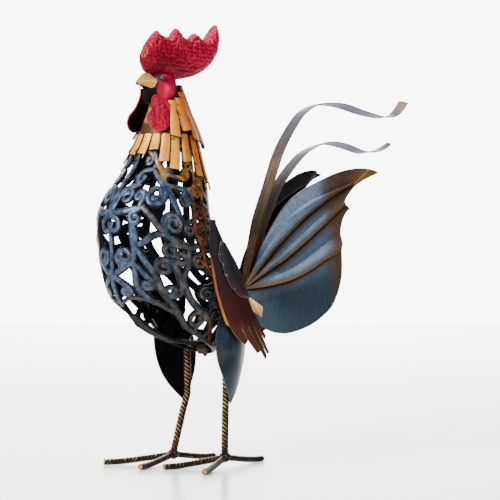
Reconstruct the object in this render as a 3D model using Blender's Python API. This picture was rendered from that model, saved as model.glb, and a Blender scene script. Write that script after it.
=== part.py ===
"""Wrought-iron rooster ornament: a hollow scrollwork body on two bar legs, with sheet-metal feathers.

The bird faces -Y, its left side is +X, and the floor is z = 0. Sizes are in millimetres and become
metres when a mesh is made. The figure's pose and carving are drawn for a bird 453 mm tall, and are
scaled by FIGURE. Metal thicknesses, bar diameters, band widths and clearances keep their own size.
"""

import math

import bmesh
import bpy
import numpy as np
from mathutils import Vector
from mathutils.geometry import delaunay_2d_cdt

MM = 0.001

# Driving dimensions
HEIGHT = 453.0             # floor to the highest point of the comb
CAGE_THICK = 2.2           # scroll bands, measured through the wall
BAND_WIDTH = 6.0           # scroll bands, measured across
SHEET = 1.2                # feathers, wings, wattles and tail
FEATHER_WIDTH = 8.8        # one neck feather
RIBBON_WIDTH = 15.0        # the two long tail feathers
LEG_DIAMETER = 7.0
TOE_DIAMETER = 6.6
HIP_PLATE_THICK = 3.0
EYE_DIAMETER = 6.0
GAP = 0.3                  # clearance where one piece is tacked to the next

DRAWN_HEIGHT = 453.0
FIGURE = HEIGHT / DRAWN_HEIGHT

# Unrolling the body: a distance s round the body, from the breast line, is an angle of s / ROLL
ROLL = 57.0
HALF_ROUND = math.pi * ROLL

# Body and neck sections: height, centre y, half length, half width, tilt in degrees (nose up < 0)
SECTIONS = np.array((
    (139, 15.0, 62.0, 36.0, -23.5),
    (162, 28.0, 80.0, 45.0, -11.0),
    (181, 30.0, 85.0, 52.0, -6.0),
    (200, 17.0, 73.0, 57.0, -4.0),
    (220, 5.5, 62.0, 58.0, -2.0),
    (240, -0.5, 58.0, 57.0, -1.0),
    (260, -1.5, 55.0, 54.0, 0.0),
    (280, 4.0, 49.0, 48.5, 0.0),
    (300, 11.3, 39.5, 39.5, 0.0),
    (320, 14.7, 33.0, 33.0, 0.0),
    (340, 16.7, 27.0, 27.0, 0.0),
    (360, 17.4, 19.8, 19.8, 0.0),
    (372, 17.0, 16.5, 16.2, 0.0),
    (388, 10.4, 15.7, 14.6, 0.0),
))

CAGE_TOP = 325.0           # top edge of the cage's collar, on the drawing
COLLAR = 5.0               # its width
HEAD_FLOOR = 370.0         # level cut under the head


def clear_scene():
    """Removes every object, so that the model starts from nothing."""
    for old in list(bpy.data.objects):
        bpy.data.objects.remove(old, do_unlink=True)


def paint(name, colour, roughness, metallic):
    """A plain painted-metal material."""
    material = bpy.data.materials.new(name)
    material.use_nodes = True
    shader = material.node_tree.nodes["Principled BSDF"]
    shader.inputs["Base Color"].default_value = (*colour, 1.0)
    shader.inputs["Roughness"].default_value = roughness
    shader.inputs["Metallic"].default_value = metallic
    return material


def solid(name, points, faces, colour, roughness=0.45, metallic=0.6, smooth=40.0):
    """One named object from points in millimetres, hung on the bird's empty, faces turned outward."""
    mesh = bpy.data.meshes.new(name)
    mesh.from_pydata([tuple(p) for p in np.asarray(points, float) * MM], [], [tuple(f) for f in faces])
    work = bmesh.new()
    work.from_mesh(mesh)
    bmesh.ops.recalc_face_normals(work, faces=work.faces)
    if work.calc_volume(signed=True) < 0:
        bmesh.ops.reverse_faces(work, faces=work.faces)
    work.to_mesh(mesh)
    work.free()
    mesh.shade_smooth()
    mesh.set_sharp_from_angle(angle=math.radians(smooth))
    mesh.materials.append(paint(name + "_paint", colour, roughness, metallic))
    piece = bpy.data.objects.new(name, mesh)
    bpy.context.scene.collection.objects.link(piece)
    piece.parent = bird
    return piece


def cut(piece, cutter, operation="DIFFERENCE"):
    """Boolean of one object with another, which becomes a hidden guide."""
    cutter.hide_render = True
    cutter.display_type = "WIRE"
    modifier = piece.modifiers.new(operation.lower(), "BOOLEAN")
    modifier.operation = operation
    modifier.solver = "EXACT"
    modifier.object = cutter


def section_at(t):
    """The body section at drawn height t, by cubic Hermite between the listed sections."""
    height = SECTIONS[:, 0]
    t = np.asarray(t, float)
    i = np.clip(np.searchsorted(height, t) - 1, 0, len(height) - 2)
    span = height[i + 1] - height[i]
    u = (t - height[i]) / span
    values = []
    for column in SECTIONS.T[1:]:
        slope = np.gradient(column, height)
        values.append((2 * u**3 - 3 * u**2 + 1) * column[i] + (u**3 - 2 * u**2 + u) * span * slope[i]
                      + (3 * u**2 - 2 * u**3) * column[i + 1] + (u**3 - u**2) * span * slope[i + 1])
    return values


def body_point(s, t):
    """Point of the body: round the tilted ellipse by the angle s / ROLL, from the breast line."""
    centre, length, width, tilt = section_at(t)
    angle = np.asarray(s, float) / ROLL
    tilt = np.radians(tilt)
    forward = -length * np.cos(angle)
    return FIGURE * np.stack([width * np.sin(angle), centre + forward * np.cos(tilt),
                              t + forward * np.sin(tilt)], axis=-1)


def body_skin(s, t, offset):
    """Body point moved out by offset along the surface's own normal."""
    s = np.asarray(s, float)
    t = np.asarray(t, float)
    step = 0.2
    round_way = body_point(s + step, t) - body_point(s - step, t)
    up_way = body_point(s, t + step) - body_point(s, t - step)
    normal = np.cross(round_way, up_way)
    normal /= np.linalg.norm(normal, axis=-1, keepdims=True)
    return body_point(s, t) + normal * np.asarray(offset, float)[..., None]


def flat_union(outlines, points, lines):
    """Flat triangles that cover the union of the outlines, with extra points and crease lines."""
    verts = []
    faces = []
    edges = []
    for outline in outlines:
        after = np.roll(outline, -1, axis=0)
        if (outline[:, 0] * after[:, 1] - outline[:, 1] * after[:, 0]).sum() < 0:
            outline = outline[::-1]
        faces.append(list(range(len(verts), len(verts) + len(outline))))
        verts.extend(Vector(p) for p in outline)
    for line in lines:
        edges.extend((len(verts) + i, len(verts) + i + 1) for i in range(len(line) - 1))
        verts.extend(Vector(p) for p in line)
    verts.extend(Vector(p) for p in points)
    flat, _, triangles, _, _, owners = delaunay_2d_cdt(verts, edges, faces, 1, MERGE, True)
    triangles = [f for f, owner in zip(triangles, owners) if owner]
    used = sorted({i for f in triangles for i in f})
    place = {old: new for new, old in enumerate(used)}
    return np.array([flat[i] for i in used]), [[place[i] for i in f] for f in triangles]


def rim_edges(triangles):
    """Directed edges that only one triangle uses."""
    sides = {(f[i], f[(i + 1) % 3]) for f in triangles for i in range(3)}
    return [(a, b) for a, b in sides if (b, a) not in sides]


def inside_union(places, flat, triangles):
    """Which of the places lie inside one of the flat triangles."""
    corners = flat[np.array(triangles)]
    left = np.ones((len(places), len(triangles)), bool)
    right = left.copy()
    for i in range(3):
        a = corners[:, i]
        side = corners[:, (i + 1) % 3] - a
        turn = side[:, 0] * (places[:, None, 1] - a[:, 1]) - side[:, 1] * (places[:, None, 0] - a[:, 0])
        left &= turn >= 0
        right &= turn <= 0
    return (left | right).any(axis=1)


def without_small_steps(flat, edges, seam):
    """The rims with each point left out that lies within FLAT_STEP of the line past it."""
    after = dict(edges)
    before = {b: a for a, b in edges}
    for b in sorted(after):
        a = before[b]
        c = after[b]
        run = flat[c] - flat[a]
        length = math.hypot(*run)
        off = abs(run[0] * (flat[b][1] - flat[a][1]) - run[1] * (flat[b][0] - flat[a][0])) / max(length, 1e-9)
        if off < FLAT_STEP and length < LONGEST_RUN and a != c and abs(abs(flat[b][0]) - seam) > 0.01:
            del after[b], before[b]
            after[a] = c
            before[c] = a
    return list(after.items())


def rim_only(flat, triangles, seam):
    """The same flat shape with fewer triangles: only the points on its edges are kept."""
    edges = without_small_steps(flat, rim_edges(triangles), seam)
    used = sorted({i for edge in edges for i in edge})
    place = {old: new for new, old in enumerate(used)}
    verts = [Vector(flat[i]) for i in used]
    edges = [(place[a], place[b]) for a, b in edges]
    points, _, fresh, _, _, _ = delaunay_2d_cdt(verts, edges, [], 0, 1e-5, True)
    points = np.array(points)
    middle = points[np.array(fresh)].mean(axis=1)
    keep = inside_union(middle, flat, triangles)
    return points, [f for f, good in zip(fresh, keep) if good]


def pinched(flat, triangles):
    """Points where the union only touches itself at a corner."""
    count = {}
    for a, b in rim_edges(triangles):
        count[a] = count.get(a, 0) + 1
    return [flat[i] for i, n in count.items() if n > 1]


def disc(centre, radius, sides=6):
    """A small polygon round a point."""
    angle = np.arange(sides) * 2 * math.pi / sides + 0.2
    return np.stack([centre[0] + radius * np.cos(angle), centre[1] + radius * np.sin(angle)], axis=1)


def pierced_sheet(outlines, front, back, points=(), lines=(), seam=None):
    """Closed sheet cut to the union of the outlines: front and back skins and a wall round every edge.

    seam is the u at which the sheet meets its own other end, at -u, and is joined to it.
    """
    outlines = list(outlines)
    for _ in range(4):
        flat, triangles = flat_union(outlines, points, lines)
        corners = pinched(flat, triangles)
        if not corners:
            break
        outlines += [disc(p, 1.2) for p in corners]
    if not len(points) and not len(lines):
        flat, triangles = rim_only(flat, triangles, seam or 0.0)
    count = len(flat)
    skins = np.concatenate([front(flat[:, 0], flat[:, 1]), back(flat[:, 0], flat[:, 1])])
    faces = [tuple(f) for f in triangles] + [tuple(i + count for i in reversed(f)) for f in triangles]
    for a, b in rim_edges(triangles):
        if seam and abs(abs(flat[a, 0]) - seam) < 0.01 and abs(abs(flat[b, 0]) - seam) < 0.01:
            continue
        faces += [(b, a, a + count), (b, a + count, b + count)]
    if seam:
        last = [i for i in range(count) if abs(flat[i, 0] - seam) < 0.01]
        place = np.arange(2 * count)
        for i in range(count):
            if abs(flat[i, 0] + seam) < 0.01:
                twin = min(last, key=lambda j: abs(flat[j, 1] - flat[i, 1]))
                place[i] = twin
                place[i + count] = twin + count
        faces = [tuple(int(place[i]) for i in f) for f in faces]
        used = sorted({i for f in faces for i in f})
        order = {old: new for new, old in enumerate(used)}
        skins = skins[used]
        faces = [tuple(order[i] for i in f) for f in faces]
    return skins, faces


def band(line, widths):
    """Quads of a flat band along a line, mitred so that neighbours share their corners."""
    line = np.asarray(line, float)
    along = np.gradient(line, axis=0)
    along /= np.linalg.norm(along, axis=1, keepdims=True)
    half = np.broadcast_to(np.asarray(widths, float) / 2, (len(line),))[:, None]
    across = np.stack([-along[:, 1], along[:, 0]], axis=1) * half
    left = line + across
    right = line - across
    return [np.array((right[i], right[i + 1], left[i + 1], left[i])) for i in range(len(line) - 1)]


def scroll_line(start, eye, radius, hand, turns, stem_steps=1):
    """A straight stem from start that runs tangent into a curl round the eye.

    The curl's radius falls evenly to INNER_CURL of its first value over its turns. hand is +1 where it
    winds anticlockwise.
    """
    start = np.asarray(start, float)
    eye = np.asarray(eye, float)
    reach = start - eye
    distance = max(np.hypot(*reach), radius * 1.02)
    lead = math.atan2(reach[1], reach[0]) + hand * math.acos(radius / distance)
    count = max(3, round(turns * CURL_STEPS))
    share = np.linspace(0.0, 1.0, count + 1)
    angle = lead + hand * share * turns * 2 * math.pi
    size = radius * (1 - (1 - INNER_CURL) * share)
    curl = eye + np.stack([size * np.cos(angle), size * np.sin(angle)], axis=1)
    stem = start + (curl[0] - start) * np.linspace(0, 1, stem_steps + 1)[:-1, None]
    return np.concatenate([stem, curl])


def smooth_line(stops, steps):
    """Catmull-Rom line through the stops, with the given steps between two stops."""
    stops = np.asarray(stops, float)
    ends = np.concatenate([[2 * stops[0] - stops[1]], stops, [2 * stops[-1] - stops[-2]]])
    u = (np.arange(steps) / steps)[:, None]
    spans = []
    for i in range(len(stops) - 1):
        a, b, c, d = ends[i:i + 4]
        spans.append(0.5 * (2 * b + (c - a) * u + (2 * a - 5 * b + 4 * c - d) * u**2
                            + (3 * b - a - 3 * c + d) * u**3))
    return np.concatenate(spans + [stops[-1:]])


INNER_CURL = 0.3           # a curl's last radius as a share of its first
FLAT_STEP = 0.4            # a corner this flat is left out of a pattern's edge
LONGEST_RUN = 13.0         # unless the edge would then run straight for longer than this
MERGE = 0.02               # corners of a flat pattern nearer than this become one
CURL_STEPS = 5             # straight runs in one turn of a curl

# Scrolls of the breast and flank: start s, start t, eye s, eye t, radius, hand, turns
SCROLLS = (
    (34, 299, 24.0, 290.5, 7.5, 1, 0.65),
    (37, 297, 48.0, 273.5, 11.5, -1, 1.35),
    (33, 262, 30.0, 272.5, 6.0, 1, 0.85),
    (1, 257, 14.5, 273.0, 8.5, -1, 1.05),
    (37, 262, 29.5, 250.0, 6.5, 1, 0.8),
    (61, 231, 67.5, 245.0, 10.5, -1, 1.4),
    (33, 312, 54.5, 297.0, 5.5, 1, 0.75),
    (59, 293, 79.0, 295.0, 6.0, 1, 0.75),
    (57, 283, 82.0, 270.0, 8.5, -1, 0.9),
    (0, 254, 4.0, 243.0, 8.5, -1, 0.6),
    (25, 247, 14.5, 210.5, 11.0, -1, 1.4),
    (65, 188, 51.5, 199.5, 9.5, 1, 1.05),
    (62, 199, 57.0, 174.0, 7.5, -1, 0.95),
    (79, 222, 60.5, 217.0, 7.5, 1, 0.75),
    (56, 208, 67.5, 211.5, 7.0, 1, 0.7),
    (118, 140, 88.0, 150.0, 9.0, 1, 0.85),
    (1, 188, 15.0, 167.0, 7.0, -1, 0.85),
    (27, 200, 36.5, 178.5, 6.5, -1, 0.85),
    (12, 322, 24.0, 309.0, 6.0, -1, 0.8),
)

# Plain bands that join the scrolls: stops (s, t) of a smooth line, and the steps between two stops
BARS = (
    (((34, 299), (44, 313), (50, 322)), 1),
    (((0, 257), (15, 257), (36, 262)), 1),
    (((36, 262), (46, 252), (57, 236), (67, 227), (79, 222), (90, 224)), 1),
    (((57, 283), (67, 270), (77, 250)), 1),
    (((57, 283), (48, 295), (33, 312), (26, 322)), 1),
    (((56, 235), (46, 233), (36, 226), (29, 223)), 1),
    (((25, 247), (29, 235), (28, 223), (33, 211), (42, 193), (48, 176), (57, 162), (68, 150), (82, 141)), 1),
    (((25, 203), (26, 190), (28, 174), (36, 163), (44, 156)), 1),
    (((65, 188), (67, 180), (74, 167), (88, 157), (104, 152)), 1),
    (((0, 236), (0, 212), (0, 190), (0, 165), (0, 143)), 1),
    (((0, 322), (0, 300), (0, 282), (0, 257)), 1),
    (((79, 222), (74, 206), (66, 190)), 1),
    (((17, 199), (8, 193), (0, 188)), 1),
    (((24, 283), (12, 281)), 1),
)

# Tie across the window under each flank, which a leg is welded under: stops (s, t), left side
LEG_TIE = ((122, 151), (134.5, 150), (152, 152))

# Belly opening: stops (s, t) of the band round it, from the breast line to the rear
RIM = ((0, 143), (8, 148), (16, 154), (26, 158), (36, 158), (46, 155.5), (57, 152), (68, 149), (81, 142),
       (93, 140), (112, 139.5), (134, 139.5), (156, 139.5), (HALF_ROUND, 139.5))

# Rear quarters, which the wings hide: upright bands with a curl to each side in turn
REAR_BARS = ((94, 6), (123, 5), (153, 3))
REAR_TOP = 312.0
REAR_BOTTOM = 152.0


def cage_pattern():
    """Outlines of every band of the body's left half, mirrored to the right half."""
    width = BAND_WIDTH / FIGURE
    pieces = []
    for s0, t0, s1, t1, radius, hand, turns in SCROLLS:
        line = scroll_line((s0, t0), (s1, t1), radius, hand, turns)
        pieces += band(line, np.linspace(width, 0.8 * width, len(line)))
    for stops, steps in BARS:
        pieces += band(smooth_line(stops, steps), width)
    pieces += band(np.array(LEG_TIE), width)
    pieces += band(np.array(RIM), width)
    for number, (s, curls) in enumerate(REAR_BARS):
        levels = np.linspace(REAR_TOP + 12, REAR_BOTTOM - 12, curls + 2)
        sway = s + 2.5 * np.cos(np.arange(len(levels)) * math.pi + number * math.pi)
        pieces += band(np.stack([sway, levels], axis=1), width)
        for k in range(curls):
            side = 1 if (k + number) % 2 else -1
            t = REAR_TOP + (REAR_BOTTOM - REAR_TOP) * (k + 0.5) / curls
            root = (s - side * 1.5, t + 13)
            line = scroll_line(root, (s + side * 10.5, t), 8.5, -side, 0.7)
            pieces += band(line, np.linspace(width, 0.8 * width, len(line)))
    ring = np.linspace(0, HALF_ROUND, 13)
    pieces += [np.array(((a, CAGE_TOP - COLLAR), (b, CAGE_TOP - COLLAR), (b, CAGE_TOP), (a, CAGE_TOP)))
               for a, b in zip(ring[:-1], ring[1:])]
    levels = np.linspace(137.3, CAGE_TOP - COLLAR, 12)
    pieces += [np.array(((HALF_ROUND - width / 2, a), (HALF_ROUND, a), (HALF_ROUND, b),
                         (HALF_ROUND - width / 2, b))) for a, b in zip(levels[:-1], levels[1:])]
    pieces = [np.stack([np.clip(p[:, 0], -60, HALF_ROUND), p[:, 1]], axis=1) for p in pieces]
    return pieces + [np.stack([-p[::-1, 0], p[::-1, 1]], axis=1) for p in pieces]


def make_cage():
    """The hollow body: one openwork wall of scroll bands, with a collar above and a rim below."""
    half = CAGE_THICK / 2
    points, faces = pierced_sheet(
        cage_pattern(),
        lambda s, t: body_skin(s, t, np.full(len(s), half)),
        lambda s, t: body_skin(s, t, np.full(len(s), -half)),
        seam=HALF_ROUND)
    return solid("scroll_cage", points, faces, (0.10, 0.15, 0.22), 0.4, 0.85)


# Neck feathers, one row over the other: centre s, top t, lower end t of each strip on the left side
LOWER_HACKLES = ((10, 335, 313), (28, 335, 317), (46, 335, 305), (63, 335, 297), (82, 335, 305),
                 (101, 335, 291), (121, 335, 285), (142, 335, 280), (165, 335, 275))
UPPER_HACKLES = ((63, 369, 330), (82, 372, 336), (102, 378, 327), (124, 383, 324), (147, 385, 321),
                 (169, 386, 320))
HACKLE_BAND = 5.0          # the strip along a row's top that joins its feathers
LOWER_FLARE = 2.2          # how much further a feather's lower end stands off than its root
UPPER_FLARE = 4.5


def make_sleeve():
    """The tapered neck tube that carries the feather rows, standing on the cage's collar."""
    around = np.arange(18) * 2 * HALF_ROUND / 18
    low = CAGE_TOP + GAP / FIGURE
    high = HEAD_FLOOR - GAP / FIGURE
    levels = np.linspace(low, high, 3)
    rings = [body_skin(around, np.full(18, t), np.full(18, SHEET / 2)) for t in levels]
    rings += [body_skin(around, np.full(18, t), np.full(18, -SHEET / 2)) for t in levels[::-1]]
    for ring, t in zip(rings, list(levels) + list(levels[::-1])):
        ring[:, 2] = FIGURE * t
    points, faces = closed_rings(rings)
    return solid("neck_sleeve", points, faces, (0.45, 0.24, 0.07), 0.45, 0.8)


def closed_rings(rings):
    """A ring-shaped solid from rings of equal counts, the last joined back to the first."""
    count = len(rings[0])
    faces = []
    for r in range(len(rings)):
        a = r * count
        b = (r + 1) % len(rings) * count
        for i in range(count):
            j = (i + 1) % count
            faces.append((a + i, a + j, b + j, b + i))
    return np.concatenate(rings), faces


def loft(rings):
    """A closed solid from rings of equal counts, with a flat face on its first and last ring."""
    count = len(rings[0])
    faces = [tuple(range(count)), tuple(range(len(rings) * count - 1, (len(rings) - 1) * count - 1, -1))]
    for r in range(len(rings) - 1):
        a = r * count
        for i in range(count):
            j = (i + 1) % count
            faces.append((a + i, a + count + i, a + count + j, a + j))
    return np.concatenate(rings), faces


def hackle_row(name, strips, root, flare, colour):
    """One row of strip feathers, joined edge to edge at their tops and standing off below.

    root is the clearance of the row's inner face at its top. The strips' lower ends stand off by
    flare more, growing with the square of the distance down the feather.
    """
    outlines = []
    for s, top, end in strips:
        half = FEATHER_WIDTH / 2 * ROLL
        levels = np.linspace(top, end, 4)
        widths = half / (FIGURE * section_at(levels)[2])
        for i in range(3):
            outlines.append(np.array(((s - widths[i], levels[i]), (s - widths[i + 1], levels[i + 1]),
                                      (s + widths[i + 1], levels[i + 1]), (s + widths[i], levels[i]))))
    first = strips[0]
    joints = list(strips) + [(HALF_ROUND, *strips[-1][1:])]
    if first[0] < first[1] / 20:
        joints.insert(0, (0, *first[1:]))
    for (s0, t0, _), (s1, t1, _) in zip(joints, joints[1:]):
        outlines.append(np.array(((s0, t0 - HACKLE_BAND), (s1, t1 - HACKLE_BAND), (s1, t1), (s0, t0))))
    outlines = [np.stack([np.clip(o[:, 0], -60, HALF_ROUND), o[:, 1]], axis=1) for o in outlines]
    closes = first[0] < first[1] / 20
    if not closes:
        outlines = [np.stack([2 * HALF_ROUND - o[::-1, 0], o[::-1, 1]], axis=1) for o in outlines] + outlines
    else:
        outlines = outlines + [np.stack([-o[::-1, 0], o[::-1, 1]], axis=1) for o in outlines]

    def lift(s, t):
        around = np.abs((s + HALF_ROUND) % (2 * HALF_ROUND) - HALF_ROUND)
        tops = np.interp(around, [a for a, _, _ in strips], [b for _, b, _ in strips])
        ends = np.interp(around, [a for a, _, _ in strips], [c for _, _, c in strips])
        share = np.clip((tops - t) / (tops - ends), 0, 1.05)
        return root + flare * share**2

    points, faces = pierced_sheet(
        outlines,
        lambda s, t: body_skin(s, t, lift(s, t) + SHEET),
        lambda s, t: body_skin(s, t, lift(s, t)),
        seam=HALF_ROUND if closes else None)
    return solid(name, points, faces, colour, 0.45, 0.7)


def make_hackles():
    """Two rows of neck feathers, the upper one over the lower one."""
    hackle_row("hackles_lower", LOWER_HACKLES, CAGE_THICK / 2 + GAP, LOWER_FLARE, (0.62, 0.27, 0.08))
    chord = FEATHER_WIDTH**2 / (8 * FIGURE * SECTIONS[-2][3])
    hackle_row("hackles_upper", UPPER_HACKLES, SHEET / 2 + GAP + 1.3 * chord, UPPER_FLARE, (0.60, 0.30, 0.10))


# Head sections: height, centre y, half length, half width
HEAD = ((370, 10.5, 17.0, 13.2), (376, 9.5, 16.6, 14.4), (382, 9.0, 16.2, 14.6), (388, 9.0, 15.6, 13.8),
        (393, 9.5, 14.4, 11.6), (396.5, 10.5, 12.0, 8.4), (398.5, 11.5, 8.0, 4.8))
HEAD_SIDES = 20


def head_rings(grow):
    """Level rings of the head, each an egg a little fuller behind than before, grown by grow."""
    angle = np.arange(HEAD_SIDES) * 2 * math.pi / HEAD_SIDES
    rings = []
    for z, centre, length, width in HEAD:
        rings.append(np.stack([(FIGURE * width + grow) * np.sin(angle),
                               FIGURE * centre - (FIGURE * length + grow) * np.cos(angle),
                               np.full(HEAD_SIDES, FIGURE * z)], axis=1))
    rings[0][:, 2] -= grow
    rings[-1][:, 2] += grow
    return rings


# Comb outline (y, z) from the beak round over the five points to the rear lobe and back below
COMB = ((-14.5, 398), (-19, 408), (-18, 416), (-11, 428), (0.5, 439.7), (6.5, 436.5), (17.5, 435),
        (27, 444.4), (34, 438.5), (42.5, 435), (53, 441.5), (59, 437), (66, 436), (74.5, 443.5),
        (83, 453), (87, 443), (86, 433), (81.5, 420), (70.5, 407), (55, 398.5), (41, 394.5), (25, 392))
COMB_SPINE = ((0, 413), (70, 426))
COMB_HALF = 11.0           # half thickness of the comb at its fullest


def comb_rings(grow=0.0):
    """Side rings of the comb: its outline drawn in towards the spine as the sides swell outward."""
    outline = np.array(COMB)
    low, high = np.array(COMB_SPINE, float)
    run = high - low
    share = np.clip(((outline - low) @ run) / (run @ run), 0, 1)
    spine = low + share[:, None] * run
    rings = []
    for side in (-1, 1):
        for part_way in (0.22, 0.62, 0.88):
            ring = spine + (outline - spine) * part_way
            x = side * (COMB_HALF * (1 - part_way**2) ** 0.6 + grow)
            rings.append((side, part_way, np.stack([np.full(len(ring), x), ring[:, 0], ring[:, 1]], axis=1)))
    edge = np.stack([np.zeros(len(outline)), outline[:, 0], outline[:, 1]], axis=1)
    left = [r for side, _, r in rings if side < 0]
    right = [r for side, _, r in rings if side > 0]
    return [FIGURE * r for r in left + [edge] + right[::-1]]


def make_head():
    """Head with a socket for each eye, the eyes, and the comb cut to sit over the skull."""
    head = solid("head", *loft(head_rings(0.0)), (0.35, 0.02, 0.04), 0.35, 0.5, 60)
    comb = solid("comb", *loft(comb_rings()), (0.33, 0.01, 0.04), 0.35, 0.5, 60)
    skull = solid("comb_seat", *loft(head_rings(GAP)), (0.5, 0.5, 0.5))
    cut(comb, skull)
    for side, word in ((1, "left"), (-1, "right")):
        eye = np.array((side * 12.6, -0.6, 391.5)) * FIGURE
        ball = ball_solid("eye_" + word, eye, EYE_DIAMETER / 2, (0.02, 0.02, 0.025))
        socket = ball_solid("socket_" + word, eye, EYE_DIAMETER / 2 + GAP, (0.5, 0.5, 0.5))
        cut(head, socket)
        cut(comb, socket)
        ball.name = "eye_" + word


def ball_solid(name, centre, radius, colour):
    """A round bead of eight sides and three levels."""
    level = np.radians((-55, 0, 55))
    angle = np.arange(8) * math.pi / 4
    rings = [centre + radius * np.stack([np.cos(a) * np.cos(angle), np.cos(a) * np.sin(angle),
                                         np.full(8, np.sin(a))], axis=1) for a in level]
    return solid(name, *loft(rings), colour, 0.2, 0.0, 70)


# Beak: a folded sheet. At the face and at the tip: lower edge, side fold, ridge
BEAK_FACE = ((5.6, -7.2, 379.6), (9.3, -5.2, 387.6), (0.0, -9.4, 397.0))
BEAK_TIP = ((0.9, -24.0, 384.8), (1.2, -24.4, 386.2), (0.0, -24.8, 387.8))
BEAK_ARCH = 2.2            # rise of the ridge half way along


def make_beak():
    """The beak, one sheet folded along its ridge and bent again along each side, open below."""
    face = np.array(BEAK_FACE)
    tip = np.array(BEAK_TIP)
    rings = []
    for share in (0.0, 0.35, 0.7, 1.0):
        half = face + (tip - face) * share
        half[:, 2] += BEAK_ARCH * math.sin(math.pi * share) * np.array((0.3, 0.6, 1.0))
        outer = FIGURE * np.concatenate([half, (half[:2] * (-1, 1, 1))[::-1]])
        core = np.array((0.0, outer[:, 1].mean(), outer[0, 2] - 0.5))
        reach = np.linalg.norm(outer - core, axis=1, keepdims=True)
        inner = core + (outer - core) * np.maximum(1 - 1.25 * SHEET / reach, 0.35)
        inner[(0, -1), 2] = outer[0, 2]
        rings.append(np.concatenate([outer, inner[::-1]]))
    beak = solid("beak", *loft(rings), (0.62, 0.42, 0.16), 0.35, 0.8, 25)
    cut(beak, solid("beak_seat", *loft(head_rings(GAP)), (0.5, 0.5, 0.5)))
    cut(beak, solid("beak_relief", *loft(comb_rings(GAP)), (0.5, 0.5, 0.5)))


def mirrored_pair(name, outlines, front, back, points, lines, colour, metallic=0.7, smooth=30.0):
    """The same cut sheet on the bird's left and, mirrored in x, on its right."""
    verts, faces = pierced_sheet(outlines, front, back, points, lines)
    for side, word in ((1, "left"), (-1, "right")):
        solid(name + "_" + word, verts * (side, 1, 1), faces, colour, 0.4, metallic, smooth)


# Wattle outline (y, z)
WATTLE = ((-7.6, 369.4), (-7.8, 375.6), (-12.6, 376.2), (-14.6, 368), (-16.5, 360), (-22, 354), (-24, 348), (-20, 341), (-12, 337.3), (-5, 339.5),
          (-1.5, 345), (0.5, 356), (2.7, 369.4))
WATTLE_SWELL = 3.0


def wattle_side(y, z):
    """Sideways place of a wattle: it spreads as it hangs and towards the rear, and swells outward."""
    spread = 8.0 + 0.28 * (HEAD_FLOOR - z) + 0.42 * np.maximum(0, y + 14)
    swell = 1 - ((y + 11) / 13.5) ** 2 - ((z - 352) / 19) ** 2
    return spread + WATTLE_SWELL * np.clip(swell, 0, 1)


def make_wattles():
    """Two leaf-shaped wattles hanging below the head."""
    inner = [(y, z) for z in (343, 350, 357, 364) for y in (-18, -11, -5) if z < 360 or y > -12]
    mirrored_pair(
        "wattle", [np.array(WATTLE)],
        lambda y, z: FIGURE * np.stack([wattle_side(y, z), y, z], axis=1) + (SHEET, 0, 0),
        lambda y, z: FIGURE * np.stack([wattle_side(y, z), y, z], axis=1),
        inner, (), (0.33, 0.01, 0.04), 0.5, 60.0)


# Wing outline (y, z): down the front edge, round five feather ends, up the rear edge
WING = ((17, 250), (18, 238), (18.2, 222), (22.8, 201), (29, 177), (39, 153), (44, 145.5), (53.7, 138),
        (59.5, 131.8), (67.8, 127.5), (70.5, 126.3), (67.3, 132), (61, 142.5), (82.5, 118), (89.5, 115.3),
        (73.5, 135), (91.5, 115.5), (97, 110.3), (102, 110.6), (84, 131.5), (102.9, 112.4), (105.8, 112.8),
        (105.8, 118), (92.3, 130.2), (84.3, 139.3), (95.6, 130.4), (97.8, 129.8), (95.4, 138), (86.7, 146.3),
        (79.6, 153.5), (73.9, 164.7), (71.7, 171), (62.5, 191), (51.3, 210), (36.7, 227), (27.8, 241.5),
        (23, 250))
WING_CAMBER = 4.0


def wing_side(y, z):
    """Sideways place of a wing's inner face: flat against the flank, bowed out across its width."""
    front = np.interp(z, (110, 133, 145, 170, 200, 230, 250), (66, 59, 45, 31, 23, 18, 17))
    rear = np.interp(z, (110, 133, 145, 170, 200, 230, 250), (106, 98, 88, 72, 57.5, 36, 23))
    across = np.clip((y - front) / np.maximum(rear - front, 8), 0, 1)
    widest = section_at(220.0)[2]
    flank = widest * FIGURE + CAGE_THICK / 2 + GAP
    hang = np.interp(z, (107, 150), (-6.0, 0.0)) * FIGURE
    return flank + hang + WING_CAMBER * 4 * across * (1 - across)


# Upper wing cover outline (y, z), lying over the wing's rear half
COVER = ((27.6, 229), (25.8, 222), (26, 214), (30.4, 205), (34.5, 195.3), (39.3, 186.3), (45.6, 180.3),
         (51.2, 175.2), (57, 173), (70, 172.3), (62, 190.5), (50.5, 210), (43, 219), (37, 225.5))

COVER_STAND = 0.9          # the cover's further distance from the wing, which takes up their facets


def make_wings():
    """Each wing is one feathered sheet against the flank, with a cover sheet lying on it."""
    inner = [(y, z) for z in (235, 215, 195, 175, 155) for y in range(24, 100, 9)
             if np.interp(z, (145, 170, 200, 230, 250), (50, 35, 27, 21, 20)) < y
             < np.interp(z, (145, 170, 200, 230, 250), (84, 68, 53, 31, 21))]
    mirrored_pair(
        "wing", [np.array(WING)],
        lambda y, z: np.stack([wing_side(y, z) + SHEET, FIGURE * y, FIGURE * z], axis=1),
        lambda y, z: np.stack([wing_side(y, z), FIGURE * y, FIGURE * z], axis=1),
        inner, (), (0.09, 0.035, 0.03))
    mirrored_pair(
        "wing_cover", [np.array(COVER)],
        lambda y, z: np.stack([wing_side(y, z) + 2 * SHEET + GAP + COVER_STAND, FIGURE * y, FIGURE * z], axis=1),
        lambda y, z: np.stack([wing_side(y, z) + SHEET + GAP + COVER_STAND, FIGURE * y, FIGURE * z], axis=1),
        [(33, 218), (41, 204), (50, 190), (58, 179)], (), (0.05, 0.045, 0.05))


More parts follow.
